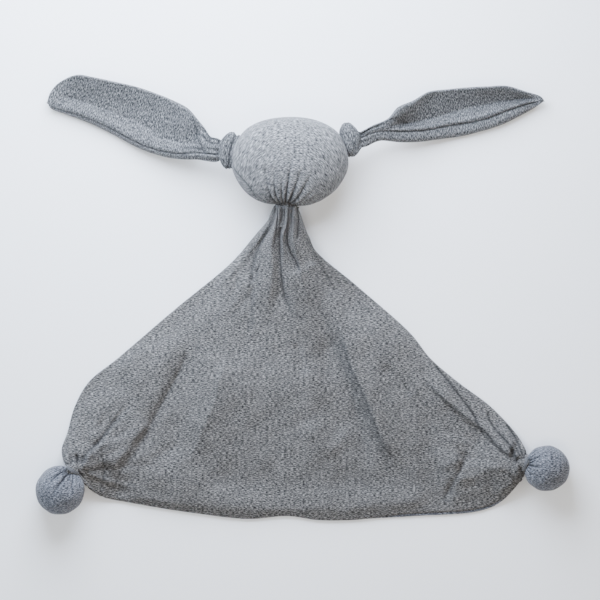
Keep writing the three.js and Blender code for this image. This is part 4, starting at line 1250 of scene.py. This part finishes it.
# Ears: plan of each as places on the floor, from its root to its tip
EAR_ANGLE = {"left": 163.7, "right": 11.8}
EAR_PLAN = {
    "left": {
        "top": [(-46, 175.5), (-51, 178.8), (-54, 180.5), (-59.3, 182.1), (-63.5, 188.4), (-68.7, 194.8),
                (-76.1, 203.2), (-87.7, 209.5), (-100.3, 214.7), (-114, 219.5), (-131.9, 223.7),
                (-146.6, 226.8), (-160.3, 228.6), (-174, 222.1), (-180, 214.5), (-181.9, 209)],
        "bottom": [(-46, 168), (-51, 164.6), (-55.4, 163), (-62.4, 163.7), (-68.7, 164.8), (-79.2, 165.1),
                   (-89.8, 166.3), (-100.3, 169), (-111.9, 173.2), (-121.3, 177.9), (-131.9, 183.7),
                   (-142.4, 189), (-152.9, 193.7), (-168.7, 199.5), (-179.2, 203.7), (-181.9, 208.5)],
        "seam": [(-46, 171), (-54, 170.5), (-63.5, 171.1), (-74, 171.2), (-84.5, 170.9), (-95, 172.4),
                 (-107.7, 175.8), (-117.1, 180), (-127.7, 185.6), (-138.2, 191.2), (-150.8, 196.4),
                 (-163.4, 200.6), (-177.1, 205), (-181.8, 208.7)],
        "trough": [(-46, 172.5), (-54, 172.5), (-62, 173.5), (-68.7, 176.5), (-81.4, 178), (-94, 181),
                   (-103.5, 187), (-115, 193.5), (-127.7, 198.5), (-137.1, 202.5), (-150.8, 207.3),
                   (-163.4, 211), (-172, 212), (-181.8, 208.9)],
    },
    "right": {
        "top": [(44, 182), (51, 184.6), (61.6, 190.4), (73.1, 195.7), (80.5, 204.1), (92.1, 209.3),
                (103.7, 215.9), (117.3, 217.8), (133.1, 219.3), (148.9, 220.1), (162.6, 220.4),
                (175.2, 216.7), (187.8, 212.5), (190.3, 209.6)],
        "bottom": [(44, 175), (51, 173.6), (57, 174.6), (62.6, 177.3), (67.9, 179), (82.6, 178),
                   (95.2, 178.3), (114.2, 180.7), (128.9, 182.8), (140.5, 185.7), (156.3, 190.4),
                   (172.1, 197.8), (182.6, 203.6), (187.8, 207.2), (190.3, 209.2)],
        "seam": [(44, 178.5), (51, 180), (61.6, 184.6), (70, 186.2), (88.9, 186.2), (103.7, 187.3),
                 (119.4, 190.5), (135.2, 192.8), (148.9, 196.2), (164.7, 202.4), (177.3, 206.7),
                 (187.8, 209.4), (190.2, 209.4)],
        "trough": [(44, 179.5), (51, 181.8), (61.6, 186.5), (73.1, 189.5), (88.9, 192), (97.3, 194.1),
                   (114.2, 198.3), (130, 203), (151, 207.4), (166.8, 209.9), (179.4, 210.8),
                   (190.2, 209.5)],
    },
}
EAR_CREASES = {
    "left": [([(-71, 193), (-69.6, 185), (-67.7, 177.5), (-62.2, 170.2)], 1.1, 0.6, 1.0),
             ([(-84, 173.2), (-74, 173.6), (-66, 171.9), (-60, 169)], 1.0, 0.6, 1.2),
             ([(-66, 183), (-61, 178), (-55, 175.5)], 0.9, 0.45, 0.8),
             ([(-63.5, 169), (-58, 167), (-53.5, 168)], 0.8, 0.5, 0.8),
             ([(-54.2, 181), (-52.8, 173), (-53.6, 164)], 1.1, 0.9, 0.6)],
    "right": [([(50, 180.9), (56, 185.2), (61.6, 189.2)], 0.8, 0.6, 0.8),
              ([(51, 178), (58, 181), (66, 184.5), (76, 186)], 0.8, 0.6, 0.9),
              ([(62, 187.5), (70, 192.6), (78, 195.2), (86, 192.6), (92, 191.4)], 1.0, 0.45, 0.8),
              ([(52, 175.6), (57, 176.8), (63, 179.6)], 0.8, 0.5, 0.6),
              ([(52.2, 186), (52.2, 180), (50.6, 173)], 1.0, 0.8, 0.4)],
}

# Each ear's trough and strip: where it opens, the seam's step, the trough's height and the strip's fall
POCKET_OPENS = {"left": (9, 17), "right": (22, 33)}
SEAM_STEP = {"left": 0.28, "right": 0.0}
POCKET_FLOOR = {"left": 3.2, "right": 2.2}
STRIP_FALL = {"left": 0.4, "right": 0.12}

# Where an ear starts, droops, opens and closes, and its grid, tip, seam, waves and root pleats
EAR_START = -7
EAR_ROWS_CLOSER = 1.35
EAR_DROOP_REACH = 75
EAR_DROOP_CURVE = 1.6
EAR_GRID = {"inner": (72, 200), "outer": (64, 200)}
EAR_SECTION_STEPS = 160
EAR_SHRINK = 0.9
EAR_OPENS = (4, 30)
EAR_TIP_CLOSES = 20
EAR_TIP_FLAT = (1, 15)
EAR_TIP_HEIGHT = {"inner": 8.4, "outer": 7.2}
EAR_GIRTH = 40
EAR_SEAM_SHADE = 0.45
EAR_SEAM_SHADE_WIDTH = 0.7
EAR_SEAM_WIDTH = 0.8
EAR_SEAM_SHALLOWER = 0.5
EAR_WAVES = (38, 18)
EAR_WAVE_HEIGHT = 0.7
ROOT_PLEATS = 3.5
ROOT_PLEATS_START = 0.8
ROOT_PLEAT_HEIGHT = 0.5
ROOT_PLEATS_END = 16
EAR_FLOOR_GAP = 0.05

# Heights of an ear's section above its underside, at the root and where it has opened, and its rim's width
ROOT_DROP = 4.6
RIM_HEIGHT = (8.6, 13.5)
RIM_WIDTH = (1.0, 2.6)
RIM_SWELL = 3.2
CREST_HEIGHT = (8.6, 9.2)
SEAM_DROP = (0.6, 1.8)
LOWER_EDGE_HEIGHT = (4.6, 2.6)
ROOT_FLOOR, TIP_FLOOR = 9.0, 6.2


def ear_frame(side):
    """Where an ear's line starts, the way it runs, and the way across it towards the picture's top."""
    run = direction(EAR_ANGLE[side])
    across = np.cross([0, 0, 1], run) * (-1 if side == "left" else 1)
    return EAR_ROOT[side], run, across


def ear_sections(side, share):
    """For each share from root to tip: the distance along, and each plan line's place across."""
    root, run, across = ear_frame(side)
    lines = {}
    for name, points in EAR_PLAN[side].items():
        offset = np.array(points, float) - root[:2]
        lines[name] = trace(np.stack([offset @ run[:2], offset @ across[:2]], axis=1))
    length = min(line[-1, 0] for line in lines.values())
    distance = EAR_START + (length - EAR_START) * (1 - (1 - share) ** EAR_ROWS_CLOSER)
    return distance, {name: np.interp(distance, line[:, 0], line[:, 1]) for name, line in lines.items()}


def ear_keys(side, layer, distance, line):
    """An ear's section as points to trace, each a place across and a height, for every vertex."""
    open_up = smooth(distance, *EAR_OPENS)
    close_tip = smooth(distance.max() - distance, 0, EAR_TIP_CLOSES)
    top, bottom, trough = line["top"], line["bottom"], line["trough"]
    seam = mix(line["seam"], bottom, SEAM_STEP[side])
    rim = mix(*RIM_WIDTH, open_up) + RIM_SWELL * bump(distance, 26, 15)
    rim = np.minimum(rim, 0.6 * np.maximum(top - trough, 0.3))
    high = mix(*RIM_HEIGHT, open_up) * mix(0.5, 1, close_tip)
    pocket = smooth(distance, *POCKET_OPENS[side])
    low = mix(mix(ROOT_FLOOR, POCKET_FLOOR[side], pocket), TIP_FLOOR, 1 - close_tip)
    crest = mix(*CREST_HEIGHT, open_up) * mix(0.75, 1, close_tip)
    seam_z = crest - mix(*SEAM_DROP, open_up)
    if layer == "inner":
        return [(top, high - 2.6), (top - rim * 0.4, high), (top - rim, high - 1.2),
                (mix(top - rim, trough, 0.5), mix(high, low, 0.6)), (mix(trough, top, 0.06), low + 0.5),
                (trough, low), (mix(trough, seam, 0.1), low + 0.7),
                (mix(trough, seam, 0.5), mix(low, crest, 0.72)), (mix(trough, seam, 0.74), crest),
                (mix(trough, seam, 0.92), crest - 0.7), (seam, seam_z)]
    keel = mix(bottom, top, 0.45)
    return [(seam, seam_z), (mix(seam, bottom, 0.25), seam_z + 0.4),
            (mix(seam, bottom, 0.75), mix(seam_z, 3.2, STRIP_FALL[side]) + 0.3),
            (bottom, mix(*LOWER_EDGE_HEIGHT, open_up)), (mix(bottom, keel, 0.35), mix(1.4, 0.5, open_up)),
            (keel, mix(0.4, 0.25, open_up)), (mix(keel, top, 0.6), mix(1.2, 2.2, open_up)), (top, high - 2.8)]


def sweep(keys, across, columns):
    """Traces each row's section: every vertex's place across, its height, and its place in the flat cloth."""
    t, z, cloth = (np.zeros(len(across)) for _ in range(3))
    for first in range(0, len(across), columns + 1):
        at = slice(first, first + columns + 1)
        section = trace([(place[first], height[first]) for place, height in keys], EAR_SECTION_STEPS)
        t[at], z[at] = along(section, across[at]).T
        cloth[at] = (0.5 - across[at]) * length_of(section)
    return t, z, cloth


def ear_layer(side, layer):
    columns, rows = EAR_GRID[layer]
    piece, across, share = grid(f"{side}_ear_{layer}_cloth", columns, rows)
    root, run, sideways = ear_frame(side)
    distance, line = ear_sections(side, share)
    t, z, cloth = sweep(ear_keys(side, layer, distance, line), across, columns)
    base = (root[2] - ROOT_DROP) * (1 - np.clip(distance / EAR_DROOP_REACH, 0, 1)) ** EAR_DROOP_CURVE
    points = root + run * distance[:, None] + sideways * t[:, None]
    flat_tip = 1 - smooth(distance.max() - distance, *EAR_TIP_FLAT)
    points[:, 2] = mix(base + z, base + EAR_TIP_HEIGHT[layer], flat_tip)
    open_up = smooth(distance, *EAR_OPENS)
    ridges = np.sin(across * 2 * math.pi * ROOT_PLEATS + ROOT_PLEATS_START) * ROOT_PLEAT_HEIGHT
    ridges *= 1 - smooth(distance, 0, ROOT_PLEATS_END)
    dark, deep = carve(EAR_CREASES[side] if layer == "inner" else [], points[:, :2])
    seed = 21 if side == "left" else 22
    points[:, 2] += ridges - deep + waves(points, EAR_WAVES, seed) * EAR_WAVE_HEIGHT * open_up
    edge = np.minimum(across, 1 - across) * EAR_GIRTH
    groove = SEAM_GROOVE * EAR_SEAM_SHALLOWER * np.exp(-(edge / EAR_SEAM_WIDTH) ** 2)
    points[:, 2] -= groove * (1 - flat_tip)
    points[:, 2] = np.maximum(points[:, 2], EAR_FLOOR_GAP)
    set_points(piece, points)
    # Painted shade along the seam's groove and in the root's creases
    seam = EAR_SEAM_SHADE * np.exp(-(edge / EAR_SEAM_SHADE_WIDTH) ** 2) * open_up * (1 - flat_tip)
    paint_shade(piece, np.maximum(dark, seam))
    lay_cloth(piece, cloth, EAR_SHRINK * distance)
    return piece


def finish_ear(piece, side, layer):
    thicken(piece, FACING[layer])
    dress(piece, ear_jersey)
    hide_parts(f"{side}_ear_{layer}")
    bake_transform(piece)


# Knots: each ear's root tied round itself, as creased bands over a core
WRAP_GRID = (150, 170)
CORE_GRID = (120, 60)
CORE = {"half_length": 9.5, "radius": 6.4, "height": 5.0, "pleats": 9}
CORE_STEP = 1.5
CORE_PLEAT_HEIGHTS = (0.88, 0.16)
BAND_WAVES = (24,)
BAND_WOBBLE = 0.12
BAND_SWAY = 0.06

# Bands of each knot: shift towards the ear and along, turn in degrees, half sizes, thickness, bow, taper,
# slant of its creases, and the creases
KNOT_BANDS = {
    "left": [
        (-0.4, 0, 0, (14.2, 5.8, 7.8), 4.6, 3.0, 0.3, 12,
         [(34, 0.7, 0.4), (62, 0.8, 0.4), (92, 0.7, 0.35), (118, 1.1, 0.45), (142, 0.9, 0.4)]),
        (-5.2, -0.3, -3, (13.2, 2.8, 6.8), 3.4, 2.4, 0.3, 0, [(70, 0.6, 0.4), (118, 0.6, 0.4)]),
    ],
    "right": [
        (-0.2, 0.3, 0, (13.2, 7.6, 8.6), 5.4, 1.8, 0.35, 100,
         [(26, 0.6, 0.4), (48, 0.7, 0.4), (70, 0.55, 0.35), (90, 0.9, 0.45), (112, 0.6, 0.35),
          (134, 0.9, 0.45), (156, 0.6, 0.4)]),
        (4.2, -6.0, -38, (7.4, 3.4, 6.0), 3.2, 0, 0.2, 30, [(60, 0.6, 0.4), (96, 0.6, 0.4), (130, 0.5, 0.4)]),
    ],
}


def lines_on(section, turn, lines, half_width, slant, seed):
    """How deep the creases of a band are: each line's place across it, its depth and its width."""
    depth = np.zeros(len(section))
    for k, (place, deep, width) in enumerate(lines):
        wander = 8 * np.sin(turn + 2.1 * k + seed) + 4 * np.sin(2 * turn + 1.3 * k) + slant / 2 * np.cos(turn)
        off = np.radians(wrapped(np.degrees(section) - place - wander)) * half_width
        mark = np.exp(-((off**2 + 0.01) ** 0.5 - 0.1) / width)
        depth += deep * mark * (0.7 + 0.3 * np.sin(turn * 1.5 + 1.7 * k))
    return depth


def band(name, directions, centre, half, thickness, bow, taper, slant, lines, seed):
    """A creased band of cloth round an oval; half gives its half length, half width and half height."""
    long_axis, across, up = directions
    piece, section, turn = grid(name, *WRAP_GRID)
    s, a = section * 2 * math.pi, turn * 2 * math.pi
    wobble = waves(np.column_stack([np.cos(a) * 10, np.sin(a) * 10]), BAND_WAVES, seed)
    depth = lines_on(s, a, lines, half[1], slant, seed)
    out = np.sign(np.sin(s)) * (thickness * (1 + BAND_WOBBLE * wobble) * np.abs(np.sin(s)) ** 0.9 - depth)
    narrow = 1 - taper * np.cos(a) ** 4
    wide = (half[1] - depth * 0.3) * (1 + BAND_SWAY * wobble) * np.cos(s) * narrow
    wide += bow * (np.sin(a) ** 2 - 0.5)
    points = centre + long_axis * ((half[0] - thickness + out) * np.cos(a))[:, None]
    points += across * wide[:, None] + up * ((half[2] - thickness + out) * np.sin(a))[:, None]
    set_points(piece, points)
    lay_cloth(piece, a * (half[0] + half[2]) / 2, s * half[1])
    # Painted shade in the band's creases, and painted contact shade where it tucks against the head and
    # against the ear
    edge = np.maximum(smooth(-np.cos(s), 0.55, 1) * 0.7, smooth(np.cos(s), 0.75, 1) * 0.6)
    paint_shade(piece, np.maximum(smooth(depth, 0.12, 0.9) * 0.8, edge))
    merge(piece)
    return piece


def core(name, centre, axis, half_length, radius, height, pleats):
    """The strand of cloth that runs through a knot."""
    piece, across, t = grid(name, *CORE_GRID)
    aside, up = around_axis(axis)
    polar, a = t * math.pi, across * 2 * math.pi
    low, high = CORE_PLEAT_HEIGHTS
    ridges = low + high * np.abs(np.sin(pleats * a / 2 + 0.4)) ** 0.8
    points = centre + axis * (-half_length * np.cos(polar))[:, None]
    points += aside * (radius * ridges * np.sin(polar) ** 0.7 * np.cos(a))[:, None]
    points += up * (height * ridges * np.sin(polar) ** 0.7 * np.sin(a))[:, None]
    set_points(piece, points)
    lay_cloth(piece, a * radius, t * 2 * half_length)
    # Painted shade in the valleys between the core's pleats
    paint_shade(piece, smooth(1.02 - ridges, 0, 0.14) * 0.6)
    merge(piece)
    return piece


def ear_knot(side):
    long_axis, across, up = knot_frame(side)
    pieces = []
    for k, (step, shift, twist, *shape) in enumerate(KNOT_BANDS[side]):
        turn = math.radians(twist)
        axis = long_axis * math.cos(turn) + np.cross(up, long_axis) * math.sin(turn)
        beside = np.cross(up, axis)
        beside = beside if beside @ across > 0 else -beside
        centre = KNOT[side] + across * step + long_axis * shift
        seed = 3 * k + (1 if side == "left" else 2)
        pieces.append(band(f"{side}_knot_wrap_{k + 1}", (axis, beside, up), centre, *shape, seed))
    run = direction(EAR_ANGLE[side])
    pieces.append(core(f"{side}_knot_core", KNOT[side] + run * CORE_STEP, run, **CORE))
    for piece in pieces:
        dress(piece, ear_jersey)
        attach(piece, f"{side}_knot")
    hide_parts(f"{side}_ear_knot")


# The whole toy
add_camera()
add_studio()
for layer in ("front", "back"):
    panel = body_panel(layer)
    dress(panel, body_jersey if layer == "front" else back_jersey)
    finish_panel(panel, layer)
    half = head_panel(layer)
    dress(half, head_jersey)
    finish_head(half, layer)
neck_gather()
tie("neck_tie", "neck_thread", NECK, NECK_AXIS, NECK_TIE_RADIUS, "neck")
for side in SIDES:
    tie(f"{side}_wrist_tie", f"{side}_ball_thread", WRIST[side], ball_axis(side), WRIST_TIE_RADIUS,
        f"{side}_wrist")
    wrist_gather(side)
    ball_cover(side)
    for layer in ("inner", "outer"):
        finish_ear(ear_layer(side, layer), side, layer)
    ear_knot(side)
